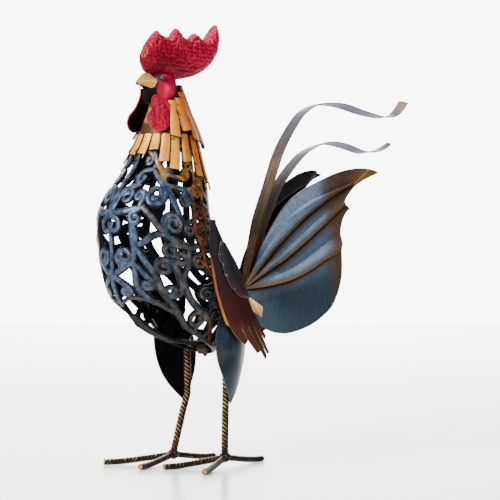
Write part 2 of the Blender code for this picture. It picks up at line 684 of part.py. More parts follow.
# Tail: root of the two fan plates, and their spread to each side
TAIL_ROOT = (6.0, 118.0, 180.0)
TAIL_SPREAD = math.radians(11.0)
# Fan outline (out, up) from the root: up the front edge to the tip, down the scalloped rear edge
FAN = ((0, 4), (12, 21), (24, 46), (40, 71), (60, 93), (80, 106), (100, 115), (120, 123), (140, 128), (160, 129.5),
       (176, 125), (161, 119), (147, 111.5), (136, 102), (130.5, 94), (131.5, 89), (138, 85.5), (131.5, 78.5),
       (126.5, 69), (124.5, 59), (128, 47.6), (129, 34), (127.5, 16), (123, -1), (113, -19.5), (101, -30),
       (87, -38.5), (70, -45), (52, -48.5), (34, -46), (19, -36.5), (9, -20), (3, -8))
# Creases (out, up) from the root
CREASES = (((8, 9), (32, 36), (60, 61), (80, 78), (100, 93), (120, 104.5), (136, 111)),
           ((10, 6), (35, 20), (60, 35.5), (80, 50), (100, 66), (116, 78), (125, 84)),
           ((14, 1), (40, 5), (73, 13), (95, 26), (113, 37.5), (124, 44)))
LOBE = 4.5                 # how far the fan bulges between two creases


def fan_swell(out, up):
    """Bulge of the fan, zero along the edges and creases and fullest half way between them."""
    angle = np.degrees(np.arctan2(up, np.maximum(out, 1.0)))
    reach = np.hypot(out, up)
    top = np.interp(reach, (10, 60, 110, 150, 200), (68, 60, 50, 43, 36))
    first = np.interp(reach, (10, 60, 110, 180), (47, 46, 43.5, 38.5))
    second = np.interp(reach, (10, 60, 110, 180), (31, 30, 32.5, 34.5))
    third = np.interp(reach, (10, 60, 110, 180), (3, 8, 16, 20))
    low = np.full_like(reach, -62.0)
    swell = np.zeros_like(reach)
    for high, base, size in ((top, first, 1.0), (first, second, 1.0), (second, third, 1.0), (third, low, 1.2)):
        share = np.clip((angle - base) / np.maximum(high - base, 1e-3), 0, 1)
        swell += size * np.sin(math.pi * share) * (share > 0) * (share < 1)
    return LOBE * swell * np.clip(reach / 45, 0, 1) ** 1.2


def fan_place(out, up, offset):
    """Place of a point of the left fan plate, moved outward by offset."""
    spread = np.array((math.sin(TAIL_SPREAD), math.cos(TAIL_SPREAD)))
    outward = np.array((math.cos(TAIL_SPREAD), -math.sin(TAIL_SPREAD)))
    swell = fan_swell(out, up) * FIGURE + offset
    x = FIGURE * (TAIL_ROOT[0] + spread[0] * out) + outward[0] * swell
    y = FIGURE * (TAIL_ROOT[1] + spread[1] * out) + outward[1] * swell
    return np.stack([x, y, FIGURE * (TAIL_ROOT[2] + up)], axis=1)


# Saddle feather outline (out, up), a short strip outside the fan's root
SADDLE = ((1, -6), (20, -19.5), (18, -31), (7, -24))
# Long tail feathers, side view (y, z) from the root to the tip
LONG_RIBBON = ((126.8, 176), (129.5, 200), (137, 226), (146, 254), (159.5, 284), (179, 327), (205, 361),
               (224, 374.5), (243, 380), (276, 380.5), (309, 375), (344, 371), (365, 374), (379, 384),
               (385, 391))
SHORT_RIBBON = ((128.4, 176), (133, 200), (143, 224), (153.5, 248), (176, 288), (203, 316), (224, 329.5),
                (251, 337.5), (281, 336), (311, 330), (335, 332), (350, 337), (359.5, 342))
RIBBON_TIP = 12.0          # width near the square-cut end
BOSS_HALF_HEIGHT = 11.0


def ribbon(name, stops, turn, tip, colour):
    """A flat strip along a line, narrow at its root and its end, turned a little about its own length."""
    line = smooth_line(stops, 1) * FIGURE
    along = np.gradient(line, axis=0)
    along /= np.linalg.norm(along, axis=1, keepdims=True)
    back = np.stack([np.zeros(len(line)), along[:, 1], -along[:, 0]], axis=1)
    share = np.linspace(0, 1, len(line))
    root = FIGURE * TAIL_ROOT[0] - SHEET / 2 - GAP
    half = np.interp(share, (0, 0.06, 0.2, 0.9, 1), (root, root + 0.3, RIBBON_WIDTH / 2, RIBBON_TIP / 2, tip / 2))
    twist = np.interp(share, (0.12, 0.4, 0.55, 0.75, 0.88, 1.0), np.array((0, 0.15, 0.05, -0.35, -0.1, 0.4)) * turn)
    side = np.stack([np.cos(twist), np.zeros(len(line)), np.zeros(len(line))], axis=1)
    side += np.sin(twist)[:, None] * back
    centre = np.stack([np.zeros(len(line)), line[:, 0], line[:, 1]], axis=1)
    grid = np.stack([centre - side * half[:, None], centre + side * half[:, None]], axis=1)
    face = np.cross(side, np.stack([np.zeros(len(line)), along[:, 0], along[:, 1]], axis=1))
    face /= np.linalg.norm(face, axis=1, keepdims=True)
    shift = face[:, None, :] * SHEET / 2
    front = grid + shift
    rear = grid - shift
    rings = np.stack([front[:, 0], front[:, 1], rear[:, 1], rear[:, 0]], axis=1)
    return solid(name, *loft(list(rings)), colour, 0.4, 0.8, 30)


def make_tail():
    """The tail: a boss on the rump, two fan plates in a V, a short strip outside each, two ribbons."""
    inner = [(o, u) for o in range(20, 150, 22) for u in range(-40, 130, 22)
             if inside_fan(o, u)]
    mirrored_pair(
        "tail_fan", [np.array(FAN)],
        lambda out, up: fan_place(out, up, SHEET / 2), lambda out, up: fan_place(out, up, -SHEET / 2),
        inner, [np.array(line) for line in CREASES], (0.16, 0.22, 0.30), 0.85, 25.0)

    def strip(out, up, offset):
        return fan_place(out, up, offset + 0.20 * np.maximum(0, 2 - up) * FIGURE)

    mirrored_pair(
        "saddle_feather", [np.array(SADDLE)],
        lambda out, up: strip(out, up, 1.5 * SHEET + GAP), lambda out, up: strip(out, up, SHEET / 2 + GAP),
        (), (), (0.60, 0.42, 0.20))
    rump = body_skin(np.array([HALF_ROUND]), np.array([181.0]), np.array([CAGE_THICK / 2 + GAP]))[0]
    half = FIGURE * TAIL_ROOT[0] - SHEET / 2 - GAP
    near = rump[1] + 0.9
    far = FIGURE * LONG_RIBBON[0][0] - SHEET / 2 - GAP
    rings = []
    for z, inset in ((-BOSS_HALF_HEIGHT, 1.5), (-BOSS_HALF_HEIGHT + 2, 0), (BOSS_HALF_HEIGHT - 2, 0),
                     (BOSS_HALF_HEIGHT, 1.5)):
        rings.append(np.array([(x * (half - inset), y, FIGURE * 178 + z)
                               for x, y in ((-1, near), (-1, far - inset), (1, far - inset), (1, near))]))
    solid("tail_boss", *loft(rings), (0.20, 0.14, 0.08), 0.5, 0.8)
    ribbon("tail_ribbon_long", LONG_RIBBON, 1.0, RIBBON_TIP, (0.17, 0.14, 0.12))
    ribbon("tail_ribbon_short", SHORT_RIBBON, 0.9, RIBBON_TIP / 2, (0.15, 0.14, 0.14))


def inside_fan(out, up):
    """Whether a point is inside the fan outline by a margin, by counting crossings."""
    for dx, dy in ((6, 0), (-6, 0), (0, 6), (0, -6)):
        x = out + dx
        y = up + dy
        crossings = 0
        for (x0, y0), (x1, y1) in zip(FAN, FAN[1:] + FAN[:1]):
            if (y0 > y) != (y1 > y) and x < x0 + (y - y0) * (x1 - x0) / (y1 - y0):
                crossings += 1
        if crossings % 2 == 0:
            return False
    return True


# Thigh shell outline (y, z)
THIGH = ((56, 168), (46, 158), (41, 143), (40, 125), (44, 106), (55, 85), (68.5, 66.5), (72.5, 64.5), (80, 77),
         (87.5, 98), (90, 120), (85, 140), (72, 158))
THIGH_CUP = 9.0
THIGH_TOE_IN = 0.2         # how far its rear edge turns in, for each millimetre back


def thigh_side(y, z):
    """Sideways place of a thigh shell: it leans out as it rises, and its middle is cupped outward."""
    lean = np.interp(z, (66, 90, 125, 168), (38.2, 40.0, 44.5, 49.0))
    cup = 1 - ((y - 64) / 25.0) ** 2 - ((z - 118) / 54.0) ** 2
    return lean - THIGH_TOE_IN * np.maximum(0, y - 52) + THIGH_CUP * np.clip(cup, 0, 1)


# Leg centre lines (x, y, z) below the ties, left straight and right bent
LEFT_LEG = ((29, 70.5, 76), (29, 69, 14))
RIGHT_LEG = ((-28.7, 71.4, 72), (-29, 65, 54), (-29, 52.2, 14))
# Toes: length, and direction in degrees outward from straight ahead
TOES = ((68, -18), (73, 30), (57, 182))
TOE_ROOT = 9.5
TOE_REST = 0.82            # share of a toe's length after which it lies level on the floor


def rod(name, stops, diameter, sides, colour, top):
    """A round bar down a line, with mitred rings. Its lower end is level and its upper end is cut to a
    slope, given as the rise for each millimetre along x and along y."""
    line = np.asarray(stops, float)
    along = np.gradient(line, axis=0)
    along /= np.linalg.norm(along, axis=1, keepdims=True)
    rings = []
    for place, way in zip(line, along):
        if np.allclose(place, line[-1]) or np.allclose(place, line[0]):
            way = np.array((0, 0, np.sign(way[2])))
        first = np.cross(way, (1, 0, 0))
        first /= np.linalg.norm(first)
        second = np.cross(way, first)
        angle = (np.arange(sides) + 0.5) * 2 * math.pi / sides
        rings.append(place + diameter / 2 * (np.cos(angle)[:, None] * first + np.sin(angle)[:, None] * second))
    away = rings[0][:, :2] - line[0, :2]
    rings[0][:, 2] += away @ np.asarray(top)
    return solid(name, *loft(rings), colour, 0.6, 0.5, 50)


def make_foot(name, ankle):
    """Three toe bars welded to a round pad: each slopes down from the ankle and ends level on the floor."""
    radius = TOE_DIAMETER / 2
    flat = radius * math.cos(math.pi / 8)
    angle = np.arange(10) * 2 * math.pi / 10
    pad = [np.array((ankle[0], ankle[1], 0)) + np.stack([5.6 * np.cos(angle), 5.6 * np.sin(angle),
                                                         np.full(10, z)], axis=1)
           for z in (3.0, ankle[2] - GAP)]
    foot = solid(name, *loft(pad), (0.14, 0.09, 0.03), 0.6, 0.5)
    side = 1 if ankle[0] > 0 else -1
    for number, (length, degrees) in enumerate(TOES):
        way = math.radians(degrees)
        ahead = np.array((side * math.sin(way), -math.cos(way), 0))
        root = np.array((ankle[0], ankle[1], TOE_ROOT))
        bar = []
        for share, size in ((0.0, 1.0), (0.5, 1.0), (TOE_REST, 0.9), (1.0, 0.75)):
            place = root + ahead * length * FIGURE * share
            rise = max(0.0, 1 - share / TOE_REST) ** 1.3
            place[2] = flat * size + (TOE_ROOT - flat) * rise
            turn = (np.arange(8) + 0.5) * math.pi / 4
            across = np.array((-ahead[1], ahead[0], 0))
            bar.append(place + radius * size * (np.cos(turn)[:, None] * across
                                                + np.sin(turn)[:, None] * np.array((0, 0, 1.0))))
        toe = solid(name + "_toe_%d" % number, *loft(bar), (0.14, 0.09, 0.03))
        cut(foot, toe, "UNION")
    return foot


# Hip strap, side view (y, z) from the front of the belly opening to its rear
STRAP = ((-29.5, 156), (-8, 141), (20, 129.5), (36, 126.5), (58, 126.5), (66, 122.5))
STRAP_WIDTHS = (10, 12, 14, 46, 46, 18)


def make_legs():
    """Cupped thigh shells, bar legs and feet, and the flat strap across the belly that carries them."""
    inner = [(y, z) for z in (85, 100, 115, 130, 145, 158) for y in (51, 63, 76)
             if not (z == 85 and y != 63) and not (z == 158 and y != 63)]
    mirrored_pair(
        "thigh", [np.array(THIGH)],
        lambda y, z: FIGURE * np.stack([thigh_side(y, z), y, z], axis=1) + (SHEET, 0, 0),
        lambda y, z: FIGURE * np.stack([thigh_side(y, z), y, z], axis=1),
        inner, (), (0.05, 0.07, 0.10), 0.6, 60.0)
    colour = (0.10, 0.07, 0.03)
    place = np.array([LEG_TIE[1], LEG_TIE[1], LEG_TIE[1]], float) + ((0, 0), (3, 0), (0, 3))
    under = body_skin(place[:, 0], place[:, 1], np.full(3, CAGE_THICK / 2 + GAP))
    level = np.cross(under[1] - under[0], under[2] - under[0])
    slope = -level[:2] / level[2]
    for word, side, leg in (("left", 1, LEFT_LEG), ("right", -1, RIGHT_LEG)):
        stops = np.concatenate([[under[0] * (side, 1, 1)], np.array(leg) * FIGURE])
        rod("leg_" + word, stops, LEG_DIAMETER, 10, colour, slope * (side, 1))
        make_foot("foot_" + word, stops[-1])
    line = np.array(STRAP) * FIGURE
    halves = np.array(STRAP_WIDTHS) / 2 * FIGURE
    rings = []
    for (y, z), half in zip(line, halves):
        rings.append(np.array(((-half, y, z - HIP_PLATE_THICK / 2), (half, y, z - HIP_PLATE_THICK / 2),
                               (half, y, z + HIP_PLATE_THICK / 2), (-half, y, z + HIP_PLATE_THICK / 2))))
    solid("hip_strap", *loft(rings), (0.03, 0.03, 0.03), 0.5, 0.6, 20)


def stand_on_origin():
    """Moves the bird so that the middle of its box's underside is the origin."""
    bpy.context.view_layer.update()
    corners = np.array([piece.matrix_world @ Vector(corner) for piece in bird.children
                        if not piece.hide_render for corner in piece.bound_box])
    low = corners.min(axis=0)
    high = corners.max(axis=0)
    bird.location -= Vector(((low[0] + high[0]) / 2, (low[1] + high[1]) / 2, low[2]))


clear_scene()
bird = bpy.data.objects.new("rooster", None)
bpy.context.scene.collection.objects.link(bird)
make_cage()
make_sleeve()
make_hackles()
make_head()
make_beak()
make_wattles()
make_wings()
make_tail()
make_legs()
stand_on_origin()
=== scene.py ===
"""Looks of a wrought-iron rooster ornament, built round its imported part.

Shapes are worked out in millimetres round the body's own upright axis: x to the bird's left, y to its
rear, z up from the floor. stand() puts them into the part's frame in metres.
"""
import math

import bmesh
import bpy
import numpy as np
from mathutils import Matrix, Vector


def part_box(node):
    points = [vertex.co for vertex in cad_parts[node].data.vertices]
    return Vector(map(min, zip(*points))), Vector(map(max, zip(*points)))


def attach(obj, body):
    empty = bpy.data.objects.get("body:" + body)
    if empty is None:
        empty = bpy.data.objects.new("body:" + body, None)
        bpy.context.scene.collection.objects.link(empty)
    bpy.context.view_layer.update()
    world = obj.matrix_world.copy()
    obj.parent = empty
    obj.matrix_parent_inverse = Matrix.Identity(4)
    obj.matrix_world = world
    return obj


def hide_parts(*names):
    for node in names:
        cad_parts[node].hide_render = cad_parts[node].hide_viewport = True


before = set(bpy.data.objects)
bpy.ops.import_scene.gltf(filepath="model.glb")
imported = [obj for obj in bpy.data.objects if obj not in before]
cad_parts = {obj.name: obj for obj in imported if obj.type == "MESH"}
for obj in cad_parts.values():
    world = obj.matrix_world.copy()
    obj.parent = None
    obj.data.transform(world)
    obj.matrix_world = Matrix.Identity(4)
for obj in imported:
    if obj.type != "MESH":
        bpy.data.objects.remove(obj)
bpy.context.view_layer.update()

# Scroll body. The hollow breast is a cage of forged flat bars, bent into scrolls with knobbed ends and
# welded to one another and to a collar at the neck. It is black iron, brushed over with steel blue,
# and with gold and copper towards the neck and the wings. The black left along the bars' sides is
# partly painted shade.
AXIS_Y = (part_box("eye_left")[0].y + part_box("eye_left")[1].y) * 500 + 0.6

# Body and neck sections: height, centre y, half length, half width, tilt in degrees
SECTIONS = np.array((
    (139, 15.0, 62.0, 36.0, -23.5), (162, 28.0, 80.0, 45.0, -11.0), (181, 30.0, 85.0, 52.0, -6.0),
    (200, 17.0, 73.0, 57.0, -4.0), (220, 5.5, 62.0, 58.0, -2.0), (240, -0.5, 58.0, 57.0, -1.0),
    (260, -1.5, 55.0, 54.0, 0.0), (280, 4.0, 49.0, 48.5, 0.0), (300, 11.3, 39.5, 39.5, 0.0),
    (320, 14.7, 33.0, 33.0, 0.0), (340, 16.7, 27.0, 27.0, 0.0), (360, 17.4, 19.8, 19.8, 0.0),
    (372, 17.0, 16.5, 16.2, 0.0), (388, 10.4, 15.7, 14.6, 0.0)))
ROLL = 57.0                # a distance s round the body is an angle of s / ROLL from the breast line
HALF_ROUND = math.pi * ROLL
SIDES = ((1, "left"), (-1, "right"))
BAR_WIDTH = 7.2
BAR_OUT = 1.3              # how far a bar's crown stands outside the body's surface
BAR_IN = 2.6               # and how far its back lies inside it


def stand(points):
    """Points in millimetres round the body's axis, as metres in the part's frame."""
    return (np.asarray(points, float) + (0.0, AXIS_Y, 0.0)) * 0.001


def through(table, place):
    """Smooth values at the places, by cubic Hermite through a table whose first column is the place."""
    knots = table[:, 0]
    place = np.asarray(place, float)
    i = np.clip(np.searchsorted(knots, place) - 1, 0, len(knots) - 2)
    span = knots[i + 1] - knots[i]
    u = np.clip((place - knots[i]) / span, -0.5, 1.5)
    values = []
    for column in table.T[1:]:
        slope = np.gradient(column, knots)
        values.append((2 * u**3 - 3 * u**2 + 1) * column[i] + (u**3 - 2 * u**2 + u) * span * slope[i]
                      + (3 * u**2 - 2 * u**3) * column[i + 1] + (u**3 - u**2) * span * slope[i + 1])
    return values


def body_point(s, t):
    """Point of the body: round a tilted ellipse at height t by the angle s / ROLL from the breast."""
    centre, length, width, tilt = through(SECTIONS, t)
    angle = np.asarray(s, float) / ROLL
    forward = -length * np.cos(angle)
    return np.stack([width * np.sin(angle), centre + forward * np.cos(np.radians(tilt)),
                     t + forward * np.sin(np.radians(tilt))], axis=-1)


def unit(vectors):
    """The vectors, each divided by its own length."""
    return vectors / np.maximum(np.linalg.norm(vectors, axis=-1, keepdims=True), 1e-9)


def body_normal(s, t):
    """Outward normal of the body, the cross product of its two slopes."""
    s = np.asarray(s, float)
    t = np.asarray(t, float)
    round_way = body_point(s + 0.2, t) - body_point(s - 0.2, t)
    up_way = body_point(s, t + 0.2) - body_point(s, t - 0.2)
    return unit(np.cross(round_way, up_way))


def smooth_line(stops, steps):
    """Catmull-Rom line through the stops, with the given steps between two stops."""
    stops = np.asarray(stops, float)
    ends = np.concatenate([[2 * stops[0] - stops[1]], stops, [2 * stops[-1] - stops[-2]]])
    u = (np.arange(steps) / steps)[:, None]
    spans = []
    for i in range(len(stops) - 1):
        a, b, c, d = ends[i:i + 4]
        spans.append(0.5 * (2 * b + (c - a) * u + (2 * a - 5 * b + 4 * c - d) * u**2
                            + (3 * b - a - 3 * c + d) * u**3))
    return np.concatenate(spans + [stops[-1:]])


def travelled(line):
    """Distance travelled along a line at each of its points."""
    return np.concatenate([[0], np.cumsum(np.linalg.norm(np.diff(line, axis=0), axis=1))])


def even_line(stops, count):
    """A smooth line through the stops, cut into points at equal distances along it."""
    fine = smooth_line(stops, 12)
    travel = travelled(fine)
    share = np.linspace(0, travel[-1], count)
    return np.stack([np.interp(share, travel, column) for column in fine.T], axis=1)


def quads(rows, columns, closed=False):
    """Corner numbers of the quads of a grid, row by row, the last column joined to the first if closed."""
    i, j = np.meshgrid(np.arange(rows - 1), np.arange(columns if closed else columns - 1), indexing="ij")
    k = (j + 1) % columns
    corners = (i * columns + j, i * columns + k, (i + 1) * columns + k, (i + 1) * columns + j)
    return np.stack(corners, axis=-1).reshape(-1, 4)


def tube_faces(rows, columns):
    """Faces of a closed tube of rings, with both its ends filled."""
    ends = [list(range(columns))[::-1], list(range((rows - 1) * columns, rows * columns))]
    return quads(rows, columns, closed=True).tolist() + ends


def gather(parts):
    """Several point sets as one, with their faces renumbered and their marks joined."""
    points = []
    faces = []
    marks = {}
    count = 0
    for place, quad, mark in parts:
        points.append(place)
        faces += (np.asarray(quad) + count).tolist() if isinstance(quad, np.ndarray) else [
            [k + count for k in face] for face in quad]
        for key, value in mark.items():
            marks.setdefault(key, []).append(np.asarray(value, float))
        count += len(place)
    return np.concatenate(points), faces, {key: np.concatenate(value) for key, value in marks.items()}


def make_piece(name, points, faces, marks, material, slot, nodes, sharp=40):
    """One piece that rides on the body in place of its nodes. marks are values or colours per point."""
    mesh = bpy.data.meshes.new(name)
    mesh.from_pydata(stand(points).tolist(), [], faces if isinstance(faces, list) else faces.tolist())
    for key, value in marks.items():
        if value.ndim == 2:
            layer = mesh.attributes.new(key, "FLOAT_COLOR", "POINT")
            layer.data.foreach_set("color", np.c_[value, np.ones(len(value))].astype(np.float32).ravel())
        else:
            layer = mesh.attributes.new(key, "FLOAT", "POINT")
            layer.data.foreach_set("value", value.astype(np.float32))
    work = bmesh.new()
    work.from_mesh(mesh)
    bmesh.ops.remove_doubles(work, verts=work.verts, dist=1e-7)
    bmesh.ops.recalc_face_normals(work, faces=work.faces)
    work.to_mesh(mesh)
    work.free()
    mesh.shade_smooth()
    mesh.set_sharp_from_angle(angle=math.radians(sharp))
    mesh.materials.append(material)
    piece = bpy.data.objects.new(name, mesh)
    bpy.context.scene.collection.objects.link(piece)
    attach(piece, "root")
    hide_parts(*nodes)


def even_marks(count, **values):
    """Marks far from any cut edge, with one value or colour for all points, or a colour for each."""
    return {key: np.broadcast_to(value, (count,) + np.shape(value)[-1:])
            for key, value in {"face": 1.0, "rim": 3.0, **values}.items()}


def ramp(value, low, high):
    """Smooth step from 0 at low to 1 at high."""
    u = np.clip((np.asarray(value, float) - low) / (high - low), 0, 1)
    return u * u * (3 - 2 * u)


def blend(first, second, share):
    """Colour part way from the first to the second, by a share for each point."""
    return np.asarray(first) * (1 - share[..., None]) + np.asarray(second) * share[..., None]


def cell_noise(points, size, seed=0.0):
    """Distance to the nearest of scattered points, one in each cube of the given size, over that size."""
    cell = np.floor(points / size)
    nearest = np.full(len(points), 9.0)
    for dx in (-1, 0, 1):
        for dy in (-1, 0, 1):
            for dz in (-1, 0, 1):
                here = cell + (dx, dy, dz)
                mix = here @ np.array((127.1, 311.7, 74.7)) + seed
                jitter = np.stack([np.sin(mix * k) * 43758.5453 % 1.0 for k in (1.0, 1.37, 1.91)], axis=1)
                jitter = 0.5 + 0.42 * (jitter - 0.5)
                nearest = np.minimum(nearest, np.linalg.norm(points / size - here - jitter, axis=1))
    return nearest


def wave_noise(points, size, seed=0.0):
    """Slow uneven waves between -1 and 1: a product and sum of sines in turned directions."""
    p = np.asarray(points) / size
    first = np.sin(p @ np.array((1.0, 2.3, 1.7)) + seed) * np.sin(p @ np.array((2.1, -1.1, 0.9)) + 2 * seed)
    second = np.sin(p @ np.array((-1.4, 0.8, 2.6)) + 3.1 * seed) * np.sin(p @ np.array((0.7, 3.0, -1.9)))
    return 0.6 * first + 0.4 * second


# corners of a bar's profile: across in shares of its width, out in half heights, and how much is painted; the
# rest stays black, partly as painted shade
BAR_ACROSS = np.array((-0.50, -0.52, -0.44, -0.27, 0.0, 0.27, 0.44, 0.52, 0.50, 0.30, 0.0, -0.30))
BAR_RISE = np.array((-0.55, 0.00, 0.62, 0.92, 1.0, 0.92, 0.62, 0.00, -0.55, -0.95, -1.0, -0.95))
BAR_CROWN = np.array((0.0, 0.05, 0.55, 0.95, 1.0, 0.95, 0.55, 0.05, 0.0, 0.0, 0.0, 0.0))
END_TURNS = np.radians((82, 58, 30))    # how far round a bar's end its last three rings lie
CURL_STEPS = 26                         # points in one whole turn of a curl
CURL_FALL = 0.68                        # share of its radius that a curl loses
STEM_STEP = 2.0                         # spacing of the points along a stem


def hold_ends(values):
    """Values along a bar, with the end ones kept for the rings that round it over."""
    rings = len(END_TURNS)
    return np.concatenate([values[:1]] * rings + [values] + [values[-1:]] * rings)


def rings_round(centre, first, second, across, rise):
    """Rings carried along a line: across times the first direction plus rise times the second."""
    return centre[:, None] + first[:, None] * across[..., None] + second[:, None] * rise[..., None]


def bar_along(centre, normal, width, height):
    """A closed bar: its profile carried along a line, with ends rounded over in three rings.

    The profile lies in the plane of the normal and of normal x travel. width and height are given for
    each point of the line.
    """
    travel = unit(np.gradient(centre, axis=0))
    reach = np.sin(END_TURNS)[:, None]
    shrink = np.cos(END_TURNS)
    head = centre[:1] - travel[:1] * reach * width[0] / 2
    tail = centre[-1:] + travel[-1:] * reach[::-1] * width[-1] / 2
    normal = hold_ends(normal)
    side = unit(np.cross(normal, hold_ends(travel)))
    width = np.concatenate([width[0] * shrink, width, width[-1] * shrink[::-1]])
    height = np.concatenate([height[0] * shrink**0.5, height, height[-1] * shrink[::-1]**0.5])
    rings = rings_round(np.concatenate([head, centre, tail]), side, normal,
                        width[:, None] * BAR_ACROSS, height[:, None] * BAR_RISE)
    return rings.reshape(-1, 3), tube_faces(*rings.shape[:2]), len(rings)


def scroll_line(start, eye, radius, hand, turns):
    """A straight stem that runs tangent into a curl round the eye, whose radius falls to a third."""
    start = np.asarray(start, float)
    eye = np.asarray(eye, float)
    reach = start - eye
    distance = max(np.hypot(*reach), radius * 1.02)
    lead = math.atan2(reach[1], reach[0]) + hand * math.acos(radius / distance)
    share = np.linspace(0.0, 1.0, round(turns * CURL_STEPS) + 2)
    angle = lead + hand * share * (turns + 0.12) * 2 * math.pi
    size = radius * (1 - CURL_FALL * share)
    curl = eye + np.stack([size * np.cos(angle), size * np.sin(angle)], axis=1)
    count = max(3, round(np.hypot(*(curl[0] - start)) / STEM_STEP))
    return np.concatenate([start + (curl[0] - start) * np.linspace(0, 1, count + 1)[:-1, None], curl])


STEEL_BLUE = (0.060, 0.096, 0.160)
SLATE_GREY = (0.034, 0.046, 0.056)
WORN_BRONZE = (0.100, 0.066, 0.036)
SCROLL_GOLD = (0.400, 0.185, 0.038)
SCROLL_COPPER = (0.170, 0.056, 0.022)
SCROLL_LIGHT = (2.0, 2.0, 1.95)
# black iron, and the painted shade along the bars' sides
IRON_BLACK_AND_SHADE = (0.006, 0.006, 0.008)


def scroll_paint(s, t, points):
    """Steel blue, turning to gold below the neck feathers and to copper along the wing."""
    s = np.abs(s)
    uneven = wave_noise(points, 9.0, 1.3)
    cool = blend(STEEL_BLUE, SLATE_GREY, ramp(-t - 12 * uneven, -262, -222) * ramp(s, 10, 50))
    worn = 0.5 * ramp(s, 45, 75) * ramp(-t, -262, -235)
    colour = blend(cool, WORN_BRONZE, 0.7 * ramp(uneven + worn, 0.15, 0.9))
    colour = blend(colour, WORN_BRONZE, 0.6 * ramp(t, 296, 314) * (1 - ramp(s, 25, 45)))
    copper = ramp(s + 5 * uneven - 16 * ramp(-t, -190, -165), 84, 92)
    gold = ramp(t + 0.45 * (s - 60) + 6 * uneven, 285, 294) * ramp(s, 33, 42)
    colour = blend(colour, SCROLL_COPPER, copper)
    tone = 0.55 + 0.8 * ramp(wave_noise(points, 5.0, 3.1), -0.7, 0.7)
    return blend(colour, SCROLL_GOLD, gold) * tone[:, None]


def body_bar(line, width, knob=0.0, plain=None):
    """A forged bar that follows a line of (s, t) on the body, thinner towards its knobbed end.

    A plain bar has one colour all along.
    """
    s, t = np.asarray(line, float).T
    centre = body_point(s, t)
    normal = body_normal(s, t)
    travel = travelled(centre)
    share = travel / travel[-1]
    size = width * (0.86 + 0.22 * np.sin(math.pi * share)) * (1 - 0.22 * share * (knob > 0))
    size = size + knob * width * np.exp(-((travel[-1] - travel) / (0.42 * width)) ** 2)
    middle = (BAR_OUT - BAR_IN) / 2
    half = (BAR_OUT + BAR_IN) / 2 * (0.9 + 0.1 * np.sin(math.pi * share)) + 0.25 * (size / width - 1)
    points, faces, rows = bar_along(centre + normal * middle, normal, size, half)
    s, t = (np.repeat(hold_ends(value), len(BAR_ACROSS)) for value in (s, t))
    paint = scroll_paint(s, t, points) if plain is None else np.tile(plain, (len(points), 1))
    return points, faces, {"crown": np.tile(BAR_CROWN, rows), "paint": paint}


# start s, start t, eye s, eye t, radius, hand, turns
SCROLLS = (
    (34, 299, 24.0, 290.5, 7.5, 1, 0.65), (37, 297, 48.0, 273.5, 11.5, -1, 1.35),
    (33, 262, 30.0, 272.5, 6.0, 1, 0.85), (1, 257, 14.5, 273.0, 8.5, -1, 1.05),
    (37, 262, 29.5, 250.0, 6.5, 1, 0.8), (61, 231, 67.5, 245.0, 10.5, -1, 1.4),
    (33, 312, 54.5, 297.0, 5.5, 1, 0.75), (59, 293, 79.0, 295.0, 6.0, 1, 0.75),
    (57, 283, 82.0, 270.0, 8.5, -1, 0.9), (0, 254, 4.0, 243.0, 8.5, -1, 0.6),
    (25, 247, 14.5, 210.5, 11.0, -1, 1.4), (65, 188, 51.5, 199.5, 9.5, 1, 1.05),
    (62, 199, 57.0, 174.0, 7.5, -1, 0.95), (79, 222, 60.5, 217.0, 7.5, 1, 0.75),
    (56, 208, 67.5, 211.5, 7.0, 1, 0.7), (118, 140, 88.0, 150.0, 9.0, 1, 0.85),
    (1, 188, 15.0, 167.0, 7.0, -1, 0.85), (27, 200, 36.5, 178.5, 6.5, -1, 0.85),
    (12, 322, 24.0, 309.0, 6.0, -1, 0.8))
# stops (s, t) of plain bars between the scrolls
BARS = (
    ((34, 299), (44, 313), (50, 322)),
    ((0, 257), (15, 257), (36, 262)),
    ((36, 262), (46, 252), (57, 236), (67, 227), (79, 222), (90, 224)),
    ((57, 283), (67, 270), (77, 250)),
    ((57, 283), (48, 295), (33, 312), (26, 322)),
    ((56, 235), (46, 233), (36, 226), (29, 223)),
    ((25, 247), (29, 235), (28, 223), (33, 211), (42, 193), (48, 176), (57, 162), (68, 150), (82, 141)),
    ((25, 203), (26, 190), (28, 174), (36, 163), (44, 156)),
    ((65, 188), (67, 180), (74, 167), (88, 157), (104, 152)),
    ((0, 236), (0, 212), (0, 190), (0, 165), (0, 143)),
    ((0, 322), (0, 300), (0, 282), (0, 257)),
    ((79, 222), (74, 206), (66, 190)),
    ((17, 199), (8, 193), (0, 188)),
    ((24, 283), (12, 281)),
    ((122, 151), (134.5, 150), (152, 152)))
BELLY_RIM = ((0, 143), (8, 148), (16, 154), (26, 158), (36, 158), (46, 155.5), (57, 152), (68, 149),
             (81, 142), (93, 140), (112, 139.5), (134, 139.5), (156, 139.5), (HALF_ROUND, 139.5))
RIM_WIDTH = 4.6
RIM_GREY = (0.040, 0.042, 0.048)
# upright bars behind the wings' front edges: s, curls on it, their radius, the bar's width
REAR_BARS = ((93, 10, 6.2, 5.6), (108, 7, 7.0, 6.0), (123, 5, 8.5, 7.6), (138, 5, 8.0, 7.6),
             (153, 3, 8.5, 8.0), (167, 2, 6.0, 7.6))
REAR_RINGS = (206, 240, 274)    # heights of the waved bands across them
REAR_BAND = 6.6
REAR_CURL = 5.4
COLLAR_LEVEL = 322.5
COLLAR_WIDTH = 5.0
BACK_WIDTH = 5.2                # the bar down the middle of the back
KNOB = 0.42                     # how much wider a curl's knobbed end is, in shares of the bar's width
REAR_KNOB = 0.45
THINNING = (265, 322)           # the rear's bars and curls grow thinner between these heights

